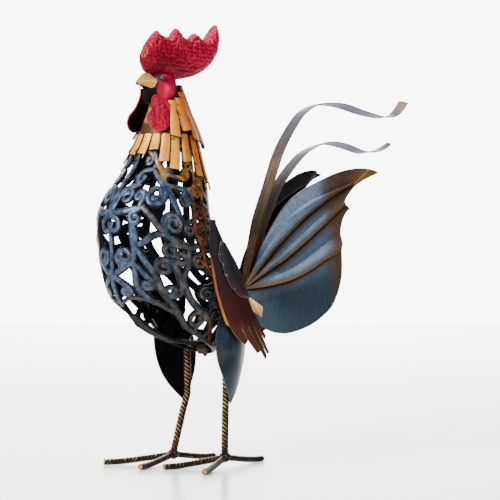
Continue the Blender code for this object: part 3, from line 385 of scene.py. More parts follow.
bars = []
for s0, t0, s1, t1, radius, hand, turns in SCROLLS:
    bars.append((scroll_line((s0, t0), (s1, t1), radius, hand, turns), BAR_WIDTH, KNOB, None))
for stops in BARS:
    bars.append((even_line(stops, 8 + 6 * len(stops)), BAR_WIDTH, 0.0, None))
bars.append((even_line(BELLY_RIM, 90), RIM_WIDTH, 0.0, RIM_GREY))
for level in REAR_RINGS:
    s = np.linspace(92, HALF_ROUND, 50)
    bars.append((np.stack([s, level + 5 * np.sin(s / 7.3)], axis=1), REAR_BAND, 0.0, None))
for number, (s, curls, radius, stem) in enumerate(REAR_BARS):
    levels = np.linspace(324, 140, curls + 2)
    sway = s + 1.6 * np.cos(np.arange(len(levels)) * math.pi + number * math.pi)
    line = even_line(np.stack([sway, levels], axis=1), 70)
    bars.append((line, stem * np.interp(line[:, 1], THINNING, (1.0, 0.55)), 0.0, None))
    for k in range(curls):
        side = 1 if (k + number) % 2 else -1
        t = 312 - 160 * (k + 0.5) / curls
        start = (s - side * 1.5, t + 1.6 * radius)
        curl = scroll_line(start, (s + side * (radius + 1.8), t), radius, -side, 0.95)
        bars.append((curl, REAR_CURL * np.interp(t, THINNING, (1.0, 0.6)), REAR_KNOB, None))
parts = [body_bar(line * (mirror, 1), width, knob, plain)
         for line, width, knob, plain in bars for mirror in (1, -1)]
back = np.stack([np.full(60, HALF_ROUND), np.linspace(137.3, 322, 60)], axis=1)
parts.append(body_bar(back, BACK_WIDTH))
collar = np.stack([np.linspace(-HALF_ROUND, HALF_ROUND, 121), np.full(121, COLLAR_LEVEL)], axis=1)
parts.append(body_bar(collar, COLLAR_WIDTH))


def node_group(name, inputs, outputs):
    """An empty shader group with the named sockets, and its input and output nodes."""
    group = bpy.data.node_groups.new(name, "ShaderNodeTree")
    for label, kind, value in inputs:
        socket = group.interface.new_socket(label, in_out="INPUT", socket_type=kind)
        socket.default_value = value
    for label, kind in outputs:
        group.interface.new_socket(label, in_out="OUTPUT", socket_type=kind)
    return group, group.nodes.new("NodeGroupInput"), group.nodes.new("NodeGroupOutput")


def link(tree, source, target):
    """Joins two sockets."""
    tree.links.new(source, target)


def calculate(tree, operation, first, second):
    """A Math node fed by sockets or numbers; returns its output."""
    node = tree.nodes.new("ShaderNodeMath")
    node.operation = operation
    for socket, value in zip(node.inputs, (first, second)):
        if isinstance(value, (int, float)):
            socket.default_value = value
        else:
            link(tree, value, socket)
    return node.outputs[0]


def spread(tree, value, low, high):
    """A Map Range node that turns low..high into 0..1 with soft ends."""
    node = tree.nodes.new("ShaderNodeMapRange")
    node.interpolation_type = "SMOOTHSTEP"
    node.inputs["From Min"].default_value = low
    node.inputs["From Max"].default_value = high
    link(tree, value, node.inputs["Value"])
    return node.outputs["Result"]


def mottle_group():
    """Uneven cloudy mask on the piece's own coordinates: two sizes of noise, one over the other."""
    group, given, result = node_group("uneven_coat", (
        ("Scale", "NodeSocketFloat", 90.0), ("Fine Scale", "NodeSocketFloat", 700.0)), (
        ("Cloud", "NodeSocketFloat"), ("Grain", "NodeSocketFloat")))
    place = group.nodes.new("ShaderNodeTexCoord")
    for label, socket, detail in (("Scale", "Cloud", 4.0), ("Fine Scale", "Grain", 3.0)):
        noise = group.nodes.new("ShaderNodeTexNoise")
        noise.inputs["Detail"].default_value = detail
        noise.inputs["Roughness"].default_value = 0.6
        link(group, place.outputs["Object"], noise.inputs["Vector"])
        link(group, given.outputs[label], noise.inputs["Scale"])
        link(group, noise.outputs["Fac"], result.inputs[socket])
    return group


def brush_group():
    """Fine streaks of a dry brush: noise over a place in millimetres, stretched along one direction."""
    group, given, result = node_group("dry_brush", (
        ("Place", "NodeSocketVector", (0.0, 0.0, 0.0)), ("Stretch", "NodeSocketVector", (2.0, 0.1, 1.0))), (
        ("Streaks", "NodeSocketFloat"),))
    sized = group.nodes.new("ShaderNodeVectorMath")
    sized.operation = "MULTIPLY"
    noise = group.nodes.new("ShaderNodeTexNoise")
    noise.inputs["Scale"].default_value = 1.0
    noise.inputs["Detail"].default_value = 2.0
    link(group, given.outputs["Place"], sized.inputs[0])
    link(group, given.outputs["Stretch"], sized.inputs[1])
    link(group, sized.outputs["Vector"], noise.inputs["Vector"])
    link(group, noise.outputs["Fac"], result.inputs["Streaks"])
    return group


uneven_coat = mottle_group()
dry_brush = brush_group()


def uneven_masks(tree, scale, fine_scale):
    """The shared cloudy coat at a material's own scales: its cloud mask and its grain mask."""
    node = tree.nodes.new("ShaderNodeGroup")
    node.node_tree = uneven_coat
    node.inputs["Scale"].default_value = scale
    node.inputs["Fine Scale"].default_value = fine_scale
    return node.outputs["Cloud"], node.outputs["Grain"]


def mix_colour(tree, share, first, second, mode="MIX"):
    """A colour Mix node; each side is a socket or a plain colour."""
    node = tree.nodes.new("ShaderNodeMix")
    node.data_type = "RGBA"
    node.blend_type = mode
    for value, socket in ((share, node.inputs[0]), (first, node.inputs[6]), (second, node.inputs[7])):
        if isinstance(value, (int, float)):
            socket.default_value = value
        elif isinstance(value, tuple):
            socket.default_value = (*value, 1.0)
        else:
            link(tree, value, socket)
    return node.outputs[2]


def new_material(name, metallic, coat=0.0):
    """An empty material with a Principled shader; returns the material, its tree and the shader."""
    material = bpy.data.materials.new(name)
    material.use_nodes = True
    tree = material.node_tree
    shader = tree.nodes["Principled BSDF"]
    shader.inputs["Metallic"].default_value = metallic
    shader.inputs["Coat Weight"].default_value = coat
    shader.inputs["Coat Roughness"].default_value = 0.25
    shader.inputs["Specular IOR Level"].default_value = 0.1
    return material, tree, shader


def bump(tree, shader, height, distance, strength):
    """A Bump node from a height to the shader's normal; the distance is in metres."""
    node = tree.nodes.new("ShaderNodeBump")
    node.inputs["Distance"].default_value = distance
    node.inputs["Strength"].default_value = strength
    link(tree, height, node.inputs["Height"])
    link(tree, node.outputs["Normal"], shader.inputs["Normal"])


def read_mark(tree, name, output="Fac"):
    """The piece's own value or colour of that name."""
    node = tree.nodes.new("ShaderNodeAttribute")
    node.attribute_name = name
    return node.outputs[output]


def brushed(tree, stretch):
    """Brush streaks laid along a piece's own lanes, whose mark is a place in millimetres across and along."""
    node = tree.nodes.new("ShaderNodeGroup")
    node.node_tree = dry_brush
    node.inputs["Stretch"].default_value = stretch
    link(tree, read_mark(tree, "lane", "Vector"), node.inputs["Place"])
    return node.outputs["Streaks"]


# spreads marks for real edge wear, and also for painted shade on the scroll bars' sides and between hammered
# domes
def wear_and_shade_mark(tree, name, mask, amount, low, high):
    """A mark made uneven and spread from 0 to 1: the mark plus the amount times (the mask less a half)."""
    uneven = calculate(tree, "MULTIPLY", calculate(tree, "SUBTRACT", mask, 0.5), amount)
    return spread(tree, calculate(tree, "ADD", read_mark(tree, name), uneven), low, high)


def lay_coat(tree, shader, colour, rough, relief):
    """Joins a finish to its shader: the colour, the roughness as (mask, span, lowest value) and the bump
    as (mask, height in metres, strength)."""
    mask, span, lowest = rough
    link(tree, colour, shader.inputs["Base Color"])
    link(tree, calculate(tree, "ADD", calculate(tree, "MULTIPLY", mask, span), lowest),
         shader.inputs["Roughness"])
    bump(tree, shader, *relief)


def scroll_finish():
    """Black iron whose crowns carry the brushed paint, thin and broken up towards the bars' sides, where the
    black is partly painted shade.
    """
    material, tree, shader = new_material("scroll_iron_paint", 0.62)
    cloud, grain = uneven_masks(tree, 160.0, 1100.0)
    cover = wear_and_shade_mark(tree, "crown", cloud, 0.9, 0.62, 1.25)
    paint = read_mark(tree, "paint", "Color")
    colour = mix_colour(tree, spread(tree, grain, 0.45, 0.75), paint, SCROLL_LIGHT, "MULTIPLY")
    lay_coat(tree, shader, mix_colour(tree, cover, IRON_BLACK_AND_SHADE, colour), (cloud, 0.3, 0.24),
             (cloud, 0.0008, 0.6))
    return material


make_piece("scrollwork", *gather(parts), scroll_finish(), "scroll_iron", ["scroll_cage"], 50)

# Neck. Strips of sheet steel hang in two rows round a tapered tube, tacked at their tops so that the
# lower ends stand off. They are gold in front, orange to the side and maroon at the nape, with the
# black of the iron showing along their cut edges.
# each strip's s, top and lower end
LOWER_FEATHERS = ((10, 335, 313), (28, 335, 317), (46, 335, 305), (63, 335, 297), (82, 335, 305),
                  (101, 335, 291), (121, 335, 285), (142, 335, 280), (165, 335, 275))
UPPER_FEATHERS = ((63, 369, 330), (82, 372, 336), (102, 378, 327), (124, 383, 324), (147, 385, 321),
                  (169, 386, 320))
FEATHER_GOLD = (0.600, 0.265, 0.032)
FEATHER_ORANGE = (0.520, 0.112, 0.013)
FEATHER_RED = (0.230, 0.034, 0.012)
FEATHER_PLUM = (0.055, 0.018, 0.026)
FEATHER_EDGE = (0.020, 0.012, 0.009)
FEATHER_LIGHT = (1.35, 1.30, 1.20)
FEATHER_SHEET = 1.1
FEATHER_HALF = 4.55


def grid_normals(grid, way, closed=False):
    """Unit normals of a grid, the cross product of its slopes, turned to point along way on the whole."""
    down = np.gradient(grid, axis=0)
    along = np.roll(grid, -1, axis=1) - np.roll(grid, 1, axis=1) if closed else np.gradient(grid, axis=1)
    normal = unit(np.cross(along, down))
    return normal if (normal * way).sum() > 0 else -normal


def sheet(middle, thickness, way, relief=0.0, **values):
    """A bent plate from a grid of middle points: both faces half the thickness away along the normal,
    and a wall round its four edges. The front looks along way and is raised by the relief. Marks: face is
    1 in front, rim is the distance from the nearest edge; the values are given for each grid point.
    """
    rows, columns = middle.shape[:2]
    normal = grid_normals(middle, way)
    front = middle + normal * (thickness / 2 + np.asarray(relief, float)[..., None])
    back = middle - normal * (thickness / 2)
    count = rows * columns
    number = np.arange(count).reshape(rows, columns)
    loop = np.concatenate([number[0], number[1:, -1], number[-1, -2::-1], number[-2:0:-1, 0]])
    after = np.roll(loop, -1)
    walls = np.stack([after, loop, loop + count, after + count], axis=1)
    faces = np.concatenate([quads(rows, columns), quads(rows, columns)[:, ::-1] + count, walls])
    step_along = np.linalg.norm(np.diff(middle, axis=1), axis=2)
    travel = np.concatenate([np.zeros((rows, 1)), np.cumsum(step_along, axis=1)], axis=1)
    side = np.minimum(travel, travel[:, -1:] - travel)
    step_down = np.linalg.norm(np.diff(middle, axis=0), axis=2)
    fall = np.concatenate([np.zeros((1, columns)), np.cumsum(step_down, axis=0)], axis=0)
    end = np.minimum(fall, fall[-1:] - fall)
    lane = np.stack([travel, fall, 0 * fall + middle[0, 0].sum()], axis=-1).reshape(-1, 3)
    marks = {"face": np.repeat((1.0, 0.0), count), "rim": np.tile(np.minimum(side, end).ravel(), 2),
             "lane": np.tile(lane, (2, 1))}
    for key, value in values.items():
        value = np.broadcast_to(value, middle.shape[:2] + np.shape(value)[2:])
        flat = value.reshape(count, -1)
        marks[key] = np.tile(flat, (2, 1)) if flat.shape[1] > 1 else np.tile(flat[:, 0], 2)
    return np.concatenate([front.reshape(-1, 3), back.reshape(-1, 3)]), faces, marks


def feather_paint(s, t, upper):
    """Gold in front and at the lower ends, orange and red to the side and above, plum at the nape."""
    s = np.abs(s)
    orange = ramp(s + 0.35 * (t - 330), 62, 100) * (0.9 if upper else 0.75)
    red = ramp(s + 0.5 * (t - 345), 92, 132) * (0.95 if upper else 0.8)
    plum = ramp(s + 0.2 * (t - 340), 122, 158)
    colour = blend(FEATHER_GOLD, FEATHER_ORANGE, orange)
    colour = blend(colour, FEATHER_RED, red)
    return blend(colour, FEATHER_PLUM, plum)


def neck_feather(s0, top, end, number, inner, flare, upper):
    """One strip: it hangs from its top and stands off by the square of the way down, with a bowed back
    and a slightly slanting lower cut."""
    down = np.linspace(0, 1, 22)[:, None]
    across = np.linspace(-1, 1, 9)[None, :]
    slant = (2.2 * math.sin(number * 2.4 + upper)) * across * down**6
    t = top + (end - top) * down - slant * 0.5
    half = FEATHER_HALF * (0.90 + 0.14 * down)
    width = through(SECTIONS, t)[2]
    s = s0 + across * half * ROLL / width + 1.3 * math.sin(number * 1.7) * down
    off = inner + 0.6 + flare * down**2 - 0.55 * across**2 + 0.35 * np.sin(number * 3.1 + 2.5 * across)
    normal = body_normal(s, t)
    middle = body_point(s, t) + normal * off[..., None]
    return sheet(middle, FEATHER_SHEET, normal, paint=feather_paint(s, t, upper))


def feather_finish():
    """Brushed gold to maroon over black, worn through along the edges and streaked down the strip."""
    material, tree, shader = new_material("neck_feather_paint", 0.45)
    cloud, _ = uneven_masks(tree, 120.0, 1400.0)
    streaks = brushed(tree, (2.2, 0.12, 1.0))
    kept = wear_and_shade_mark(tree, "rim", cloud, 1.4, 0.1, 0.9)
    kept = calculate(tree, "MULTIPLY", kept, spread(tree, cloud, 0.22, 0.42))
    kept = calculate(tree, "MULTIPLY", kept, read_mark(tree, "face"))
    paint = mix_colour(tree, spread(tree, streaks, 0.35, 0.7), read_mark(tree, "paint", "Color"),
                       FEATHER_LIGHT, "MULTIPLY")
    lay_coat(tree, shader, mix_colour(tree, kept, FEATHER_EDGE, paint), (streaks, 0.35, 0.26),
             (streaks, 0.0003, 0.5))
    return material


feather_coat = feather_finish()
for name, node, strips, inner, flare in (("neck_feathers_low", "hackles_lower", LOWER_FEATHERS, 1.4, 2.2),
                                         ("neck_feathers_high", "hackles_upper", UPPER_FEATHERS, 1.6, 4.5)):
    parts = [neck_feather(mirror * s, top, end, mirror * number + 3, inner, flare, strips is UPPER_FEATHERS)
             for number, (s, top, end) in enumerate(strips) for mirror in (1, -1)]
    make_piece(name, *gather(parts), feather_coat, "neck_gold", [node])

# Neck tube. A tapered tube of thin sheet joins the body to the head, and the feathers are tacked to it.
# It is rusty iron, with gold brushed over its front, which shows under the beak.
TUBE_LEVELS = np.linspace(325.5, 369.5, 24)
TUBE_SHEET = 1.1
TUBE_RUST = (0.060, 0.030, 0.015)
TUBE_GOLD = (0.50, 0.26, 0.08)

s, t = np.meshgrid(np.linspace(0, 2 * HALF_ROUND, 97)[:-1], TUBE_LEVELS)
outer, inside = (body_point(s, t) + body_normal(s, t) * off for off in (TUBE_SHEET / 2, -TUBE_SHEET / 2))
outer[..., 2] = t
inside[..., 2] = t
tube = np.concatenate([outer, inside[::-1], outer[:1]])
points = tube.reshape(-1, 3)
front = ramp(-points[:, 1], -6, 2) * ramp(points[:, 2], 345, 352)
make_piece("neck_tube", points, quads(*tube.shape[:2], closed=True),
           even_marks(len(points), paint=blend(TUBE_RUST, TUBE_GOLD, front)), feather_coat, "neck_gold",
           ["neck_sleeve"])

# Head, comb and wattles. Pressed from thin sheet and hammered all over, except for the smooth cheeks,
# then lacquered crimson. The comb's two halves are soldered along its edge and sit over the skull.
# head sections: height, centre y, half length, half width
HEAD = np.array((
    (368.5, 10.5, 16.4, 12.4), (370, 10.5, 17.0, 13.2), (376, 9.5, 16.6, 14.4), (382, 9.0, 16.2, 14.6),
    (388, 9.0, 15.6, 13.8), (393, 9.5, 14.4, 11.6), (396.5, 10.5, 12.0, 8.4), (398.5, 11.5, 8.0, 4.8),
    (399.2, 12.0, 0.5, 0.3)))
# the comb's outline, and the line that its middle swells round, as (y, z)
COMB = ((-14.5, 398), (-19, 408), (-18, 416), (-11, 428), (0.5, 439.7), (6.5, 436.5), (17.5, 435),
        (27, 444.4), (34, 438.5), (42.5, 435), (53, 441.5), (59, 437), (66, 436), (74.5, 443.5),
        (83, 453), (87, 443), (86, 433), (81.5, 420), (70.5, 407), (55, 398.5), (41, 394.5), (25, 392),
        (5, 393.5), (-8, 395))
COMB_SPINE = np.array(((0.0, 413.0), (70.0, 426.0)))
COMB_HALF = 11.0
CRIMSON = (0.360, 0.006, 0.030)
# dark crimson painted as shade between the hammered domes and low on the comb
CRIMSON_SHADE = (0.045, 0.001, 0.003)
FACE_PINK = (0.420, 0.022, 0.050)
EYE_SOCKET_SHADE = (0.055, 0.030, 0.050)
BEAK_SHADE = (0.050, 0.012, 0.022)
# black for the insides, and for the painted shadow under the throat
INSIDE_AND_SHADOW_BLACK = (0.005, 0.003, 0.004)
MATT_RISE = 0.45           # how much rougher the black insides and the throat's black painted shadow are than the lacquer
COMB_DOMES = (3.9, 1.3)    # size and depth of the hammer's domes
HEAD_COLUMNS = 96


def hammered(points, normals, size, depth, seed=0.0):
    """The points raised into small domes: a dome stands over each scattered point of the cell noise."""
    warp = np.stack([wave_noise(points, size * 1.3, k) for k in (seed, seed + 2, seed + 4)], axis=1)
    near = cell_noise(points + warp * size * 0.35, size, seed)
    dome = 1 - np.clip(near / 0.74, 0, 1) ** 2
    return points + normals * (depth * (dome - 0.5))[:, None], dome


def enamel_finish(name, lowest):
    """Crimson lacquer over metal, with painted shade between the hammer's domes, and black on the insides and
    as painted shadow at the throat.
    """
    material, tree, shader = new_material(name, 0.5)
    cloud, grain = uneven_masks(tree, 140.0, 900.0)
    face = read_mark(tree, "face")
    lit = wear_and_shade_mark(tree, "crown", cloud, 0.5, -0.45, 0.5)
    colour = mix_colour(tree, lit, CRIMSON_SHADE, read_mark(tree, "paint", "Color"))
    matt = calculate(tree, "SUBTRACT", lowest + MATT_RISE, calculate(tree, "MULTIPLY", face, MATT_RISE))
    lay_coat(tree, shader, mix_colour(tree, face, INSIDE_AND_SHADOW_BLACK, colour), (grain, 0.22, matt),
             (cloud, 0.0004, 0.5))
    return material


hammered_coat = enamel_finish("hammered_crimson", 0.34)
smooth_coat = enamel_finish("smooth_crimson", 0.20)

outline = even_line(np.array(COMB + COMB[:1], float), 420)[:-1]
low, high = COMB_SPINE
run = high - low
along = np.clip(((outline - low) @ run) / (run @ run), 0, 1)
spine = low + along[:, None] * run
part_way = np.sin(np.linspace(0, 1, 46) * math.pi / 2)[:, None]
level = spine + (outline - spine) * part_way[..., None]
fade = np.sqrt(1 - 0.999 * part_way**6) * np.ones(len(outline))
parts = []
for side in (1, -1):
    x = side * COMB_HALF * (1 - part_way**2) ** 0.6 * np.ones(len(outline))
    grid = np.stack([x, level[..., 0], level[..., 1]], axis=-1)
    out = grid_normals(grid, (side, 0, 0), closed=True) * fade[..., None]
    out[-1] = 0
    points, dome = hammered(grid.reshape(-1, 3), out.reshape(-1, 3), *COMB_DOMES, 3.0)
    # painted shade: the comb's crimson darkens towards its bottom
    shade = ramp(points[:, 2] + 0.3 * points[:, 1], 392, 436)
    paint = blend(CRIMSON_SHADE, CRIMSON, 0.2 + 0.8 * shade**1.5)
    paint = blend(paint, FACE_PINK, 0.35 * ramp(wave_noise(points, 14.0, 0.4), 0.1, 0.7))
    parts.append((points, quads(*grid.shape[:2], closed=True),
                  {"crown": dome, "paint": paint, "face": np.ones(len(points))}))
make_piece("comb_hammered", *gather(parts), hammered_coat, "comb_red", ["comb"], 70)

angle = np.linspace(0, 2 * math.pi, HEAD_COLUMNS + 1)[:-1]
levels = np.concatenate([np.linspace(368.5, 396, 36), 399.2 - 3.2 * np.linspace(1, 0, 12)[1:] ** 2])
centre, length, width = (value[:, None] for value in through(HEAD, levels))
x = np.maximum(width, 0.05) * np.sin(angle)
y = centre - np.maximum(length, 0.05) * np.cos(angle)
z = np.repeat(levels[:, None], HEAD_COLUMNS, axis=1)
cheek = np.exp(-((y - 13) / 9.0) ** 2 - ((z - 381) / 9.0) ** 2)
x += np.sign(x) * 1.2 * cheek * np.minimum(np.abs(x) / 8, 1)
socket = np.exp(-((y + 1.5) / 4.6) ** 2 - ((z - 391.5) / 4.0) ** 2)
# the throat bulges down under the beak and carries a black painted shadow
throat = np.exp(-(x / 6.5) ** 2) * ramp(-y, 0, 6) * ramp(-z, -387, -380)
y -= 9.0 * throat
z -= 3.0 * ramp(-z, -378, -368.5) * np.exp(-((y + 5) / 9.0) ** 2)
paint = blend(CRIMSON, FACE_PINK, ramp(cheek, 0.35, 0.9))
# painted shade: a dark plum ring round the eye
paint = blend(paint, EYE_SOCKET_SHADE, 0.92 * ramp(socket, 0.15, 0.75))
paint = blend(paint, BEAK_SHADE, 0.85 * ramp(-y, 2.5, 8.0) * ramp(z, 371, 378))
# skin is 0 on the throat, where the lacquer gives way to black painted shadow
skin = 1 - ramp(throat, 0.03, 0.2)
make_piece("smooth_head", np.stack([x, y, z], axis=-1).reshape(-1, 3), tube_faces(*x.shape),
           {"crown": np.ones(x.size), "paint": paint.reshape(-1, 3), "face": skin.ravel()},
           smooth_coat, "comb_red", ["head"], 70)

# front and rear edges as (y, z); the right wattle hangs from higher up on the throat
WATTLE_FRONT = ((-14.0, 368), (-16.5, 360), (-22, 354), (-24, 348), (-20, 341), (-13, 337.4))
WATTLE_REAR = ((-4.5, 370.5), (2.9, 367.5), (2.4, 356), (-1.0, 345), (-5, 339.5), (-11.5, 337.3))
LEFT_TOP = (((-10.6, 373.6),), ((-7.6, 374.6),))
RIGHT_TOP = (((-14.8, 381.5), (-13.4, 375.5)), ((-9.5, 380.5), (-7.6, 375.5)))
WATTLE_ROWS = 72
WATTLE_COLUMNS = 40
WATTLE_SHEET = 1.2


def between(first, second, rows, columns):
    """A grid whose rows run straight from one edge curve to the other, at equal shares of each."""
    start = even_line(first, rows)[:, None]
    end = even_line(second, rows)[:, None]
    share = np.linspace(0, 1, columns)[None, :, None]
    return start + (end - start) * share


edge_fade = (np.sin(math.pi * np.linspace(0, 1, WATTLE_COLUMNS))[None] ** 0.5
             * np.sin(math.pi * np.linspace(0.02, 0.99, WATTLE_ROWS))[:, None] ** 0.4)
for side, word, (front_top, rear_top) in ((1, "left", LEFT_TOP), (-1, "right", RIGHT_TOP)):
    flat = between(front_top + WATTLE_FRONT, rear_top + WATTLE_REAR, WATTLE_ROWS, WATTLE_COLUMNS)
    y, z = flat[..., 0], flat[..., 1]
    flare = 0.42 if side > 0 else 0.26
    x = 8.6 + 0.28 * (370 - z) + flare * np.maximum(0, y + 14)
    x = x + 3.0 * np.clip(1 - ((y + 11) / 13.5) ** 2 - ((z - 352) / 19) ** 2, 0, 1)
    grid = np.stack([side * x, y, z], axis=-1)
    _, dome = hammered(grid.reshape(-1, 3), 0.0, 3.6, 1.0, 5.0)
    dome = dome.reshape(y.shape)
    paint = blend(CRIMSON, FACE_PINK, 0.5 * ramp(wave_noise(grid, 9.0, 2.0), 0.0, 0.6))
    # the crown mark follows the domes, so the gaps between them get painted shade
    points, faces, marks = sheet(grid, WATTLE_SHEET, (side, 0, 0), 1.1 * (dome - 0.4) * edge_fade,
                                 crown=0.25 + 0.75 * dome, paint=paint)
    marks["face"] = np.maximum(marks["face"], 1 - ramp(marks["rim"], 0.6, 1.5))
    make_piece("wattle_%s_hammered" % word, points, faces, marks, hammered_coat, "comb_red",
               ["wattle_" + word], 60)

# Beak and eyes. The beak is one piece of brass-coloured sheet folded along its ridge and bent again
# along each side, open below. The eyes are black glass-like beads, soldered in.
# lower edge, side fold and ridge on the left, where the beak meets the face and at its tip
BEAK_FACE = np.array(((5.6, -7.2, 379.6), (9.3, -5.2, 387.6), (0.0, -9.4, 397.0)))
BEAK_TIP = np.array(((0.9, -24.0, 384.8), (1.2, -24.4, 386.2), (0.0, -24.8, 387.8)))
BEAK_SHEET = 1.2
BEAK_GOLD_SHADED = (0.420, 0.220, 0.040)
BEAK_GOLD_LIT = (0.760, 0.490, 0.130)
GOLD_HOLLOW = (0.030, 0.018, 0.008)
EYE = (12.4, -0.6, 391.5)
EYE_RADIUS = 2.6
EYE_BLACK = (0.010, 0.010, 0.014)
EYE_GREY = (0.045, 0.042, 0.055)


def gold_finish():
    """Pale brushed gold with brown in the hollows and along the edges."""
    material, tree, shader = new_material("brushed_pale_gold", 0.7)
    cloud, _ = uneven_masks(tree, 260.0, 1500.0)
    kept = wear_and_shade_mark(tree, "rim", cloud, 1.5, -0.125, 0.75)
    kept = calculate(tree, "MULTIPLY", kept, read_mark(tree, "face"))
    colour = mix_colour(tree, kept, GOLD_HOLLOW, read_mark(tree, "paint", "Color"))
    lay_coat(tree, shader, colour, (cloud, 0.3, 0.22), (cloud, 0.0004, 0.6))
    return material


pale_gold = gold_finish()
along = np.linspace(0, 1, 26)[:, None, None]
half = BEAK_FACE + (BEAK_TIP - BEAK_FACE) * along
half = half + np.sin(math.pi * along) * np.array((0.0, 0.0, 2.2)) * np.array((0.3, 0.6, 1.0))[:, None]
half[..., 2] -= 1.0 * along[..., 0] ** 4
whole = np.concatenate([half, (half[:, :2] * (-1, 1, 1))[:, ::-1]], axis=1)
fine = np.linspace(0, 4, 41)
low = np.minimum(fine.astype(int), 3)
share = (fine - low)[None, :, None]
grid = whole[:, low] * (1 - share) + whole[:, low + 1] * share
grid[:, 1:-1] = 0.5 * grid[:, 1:-1] + 0.25 * (grid[:, :-2] + grid[:, 2:])
level = np.broadcast_to(np.abs(fine - 2), grid.shape[:2])
# painted light and shade: the upper facets paler, the lower facets darker gold
paint = blend(BEAK_GOLD_LIT, BEAK_GOLD_SHADED, ramp(level, 0.85, 1.2))
points, faces, marks = sheet(grid, BEAK_SHEET, grid - (0, -8, 380), paint=paint)
marks["rim"] = np.maximum(marks["rim"], 0.3)
make_piece("folded_beak", points, faces, marks, pale_gold, "beak_gold", ["beak"], 25)


def eye_finish():
    """Black enamel with a clear gloss."""
    material, tree, shader = new_material("black_gloss", 0.0, 0.35)
    cloud, _ = uneven_masks(tree, 300.0, 900.0)
    link(tree, mix_colour(tree, cloud, EYE_BLACK, EYE_GREY), shader.inputs["Base Color"])
    shader.inputs["Roughness"].default_value = 0.12
    return material


def ball(rows, columns, cut):
    """A unit ball as rings from pole to pole, cut off at a small angle from each; its points and faces."""
    u, v = np.meshgrid(np.linspace(cut, math.pi - cut, rows), np.linspace(0, 2 * math.pi, columns + 1)[:-1],
                       indexing="ij")
    rings = np.stack([np.sin(u) * np.cos(v), np.sin(u) * np.sin(v), np.cos(u)], axis=-1)
    return rings.reshape(-1, 3), tube_faces(rows, columns)


gloss = eye_finish()
bead, bead_faces = ball(25, 32, 0.04)
for side, word in SIDES:
    make_piece("eye_bead_" + word, bead * EYE_RADIUS + EYE * np.array((side, 1, 1)), bead_faces, {}, gloss,
               "eye_black", ["eye_" + word])

# Wings. A long blade of sheet steel lies on each flank; towards its lower end narrow strips fan out,
# a shorter cover plate is tacked over its rear half, and a twisted wire is soldered down its front
# edge. Black at the shoulder, it turns maroon and then brown, with copper along the cut edges.
BLADE_FRONT = ((17, 250), (18, 238), (18.2, 222), (22.8, 201), (29, 177), (39, 153), (44, 145.5),
               (53.7, 139))
BLADE_REAR = ((23, 250), (27.8, 241.5), (36.7, 227), (51.3, 210), (62.5, 191), (71.7, 171), (79, 154.5),
              (85, 147))
BLADE_SHEET = 1.1
# centre line (y, z) and width of each strip at the blade's end
WING_STRIPS = (
    ((44, 160), (53, 143), (69.3, 127.3), 9.0), ((54, 163), (66, 140), (86, 116.8), 7.4),
    ((62, 163), (77, 136.5), (98.8, 111), 6.6), ((69, 163), (83, 138.5), (104, 114.8), 6.0),
    ((72, 163), (84, 145.5), (96.5, 131.5), 6.0))
STRIP_SHEET = 0.9
COVER_FRONT = ((27.6, 229), (25.8, 222), (26, 214), (30.4, 205), (34.5, 195.3), (39.3, 186.3),
               (45.6, 180.3), (51.2, 175.2), (57, 173), (69, 172.2))
COVER_REAR = ((36.5, 226), (43, 219), (50.5, 210), (56.5, 201), (62, 191.5), (66, 182.5), (68, 178),
              (69.2, 175), (69.8, 173), (70, 172.4))
COVER_LIFT = 2.6
# y, z and size of the beads of weld along the cover's front edge
TACKS = ((27.5, 226, 1.0), (27.2, 216, 0.9), (31.5, 206, 0.9), (35.8, 195.5, 1.2), (46.5, 181.5, 0.9))
WIRE_STEPS = 260
WIRE_RADIUS = 1.25
# the flank's front and rear edges (y) at these heights
FLANK_HEIGHTS = (110, 133, 145, 170, 200, 230, 250)
FLANK_FRONT = (66, 59, 45, 31, 23, 18, 17)
FLANK_REAR = (106, 98, 88, 72, 57.5, 36, 23)
SHOULDER_BLACK = (0.010, 0.009, 0.011)
WING_MAROON = (0.032, 0.006, 0.005)
WING_BROWN = (0.032, 0.013, 0.005)
WING_LIGHT = (1.40, 1.30, 1.25)
WING_BACK = (0.010, 0.009, 0.010)
COPPER_EDGE = (0.260, 0.100, 0.030)
SHOULDER_EDGE = (0.050, 0.040, 0.040)
COVER_EDGE = (0.070, 0.060, 0.065)
COVER_BLACK = (0.015, 0.014, 0.018)
COVER_PLUM = (0.030, 0.012, 0.013)
TACK_GREY = (0.100, 0.090, 0.095)
TACK_EDGE = (0.160, 0.130, 0.140)
WIRE_GROOVE = (0.030, 0.015, 0.012)
WIRE_BLACK = (0.030, 0.027, 0.030)
WIRE_COPPER = (0.420, 0.120, 0.055)
WIRE_GOLD = (0.580, 0.270, 0.050)


def wing_side(y, z):
    """Sideways place of the wing's inner face: flat on the flank, with a bow across its width."""
    front, rear = (np.interp(z, FLANK_HEIGHTS, edge) for edge in (FLANK_FRONT, FLANK_REAR))
    across = np.clip((y - front) / np.maximum(rear - front, 8), 0, 1)
    return 59.4 + np.interp(z, (107, 150), (-6.0, 0.0)) + 16.0 * across * (1 - across)


def wing_paint(y, z):
    """Black at the shoulder, maroon from the middle down, brown at the ends."""
    uneven = wave_noise(np.stack([y, z, y * 0], axis=-1), 12.0, 0.7)
    colour = blend(SHOULDER_BLACK, WING_MAROON, ramp(-z + 0.25 * y + 4 * uneven, -198, -152))
    return blend(colour, WING_BROWN, 0.85 * ramp(-z + 3 * uneven, -160, -128))


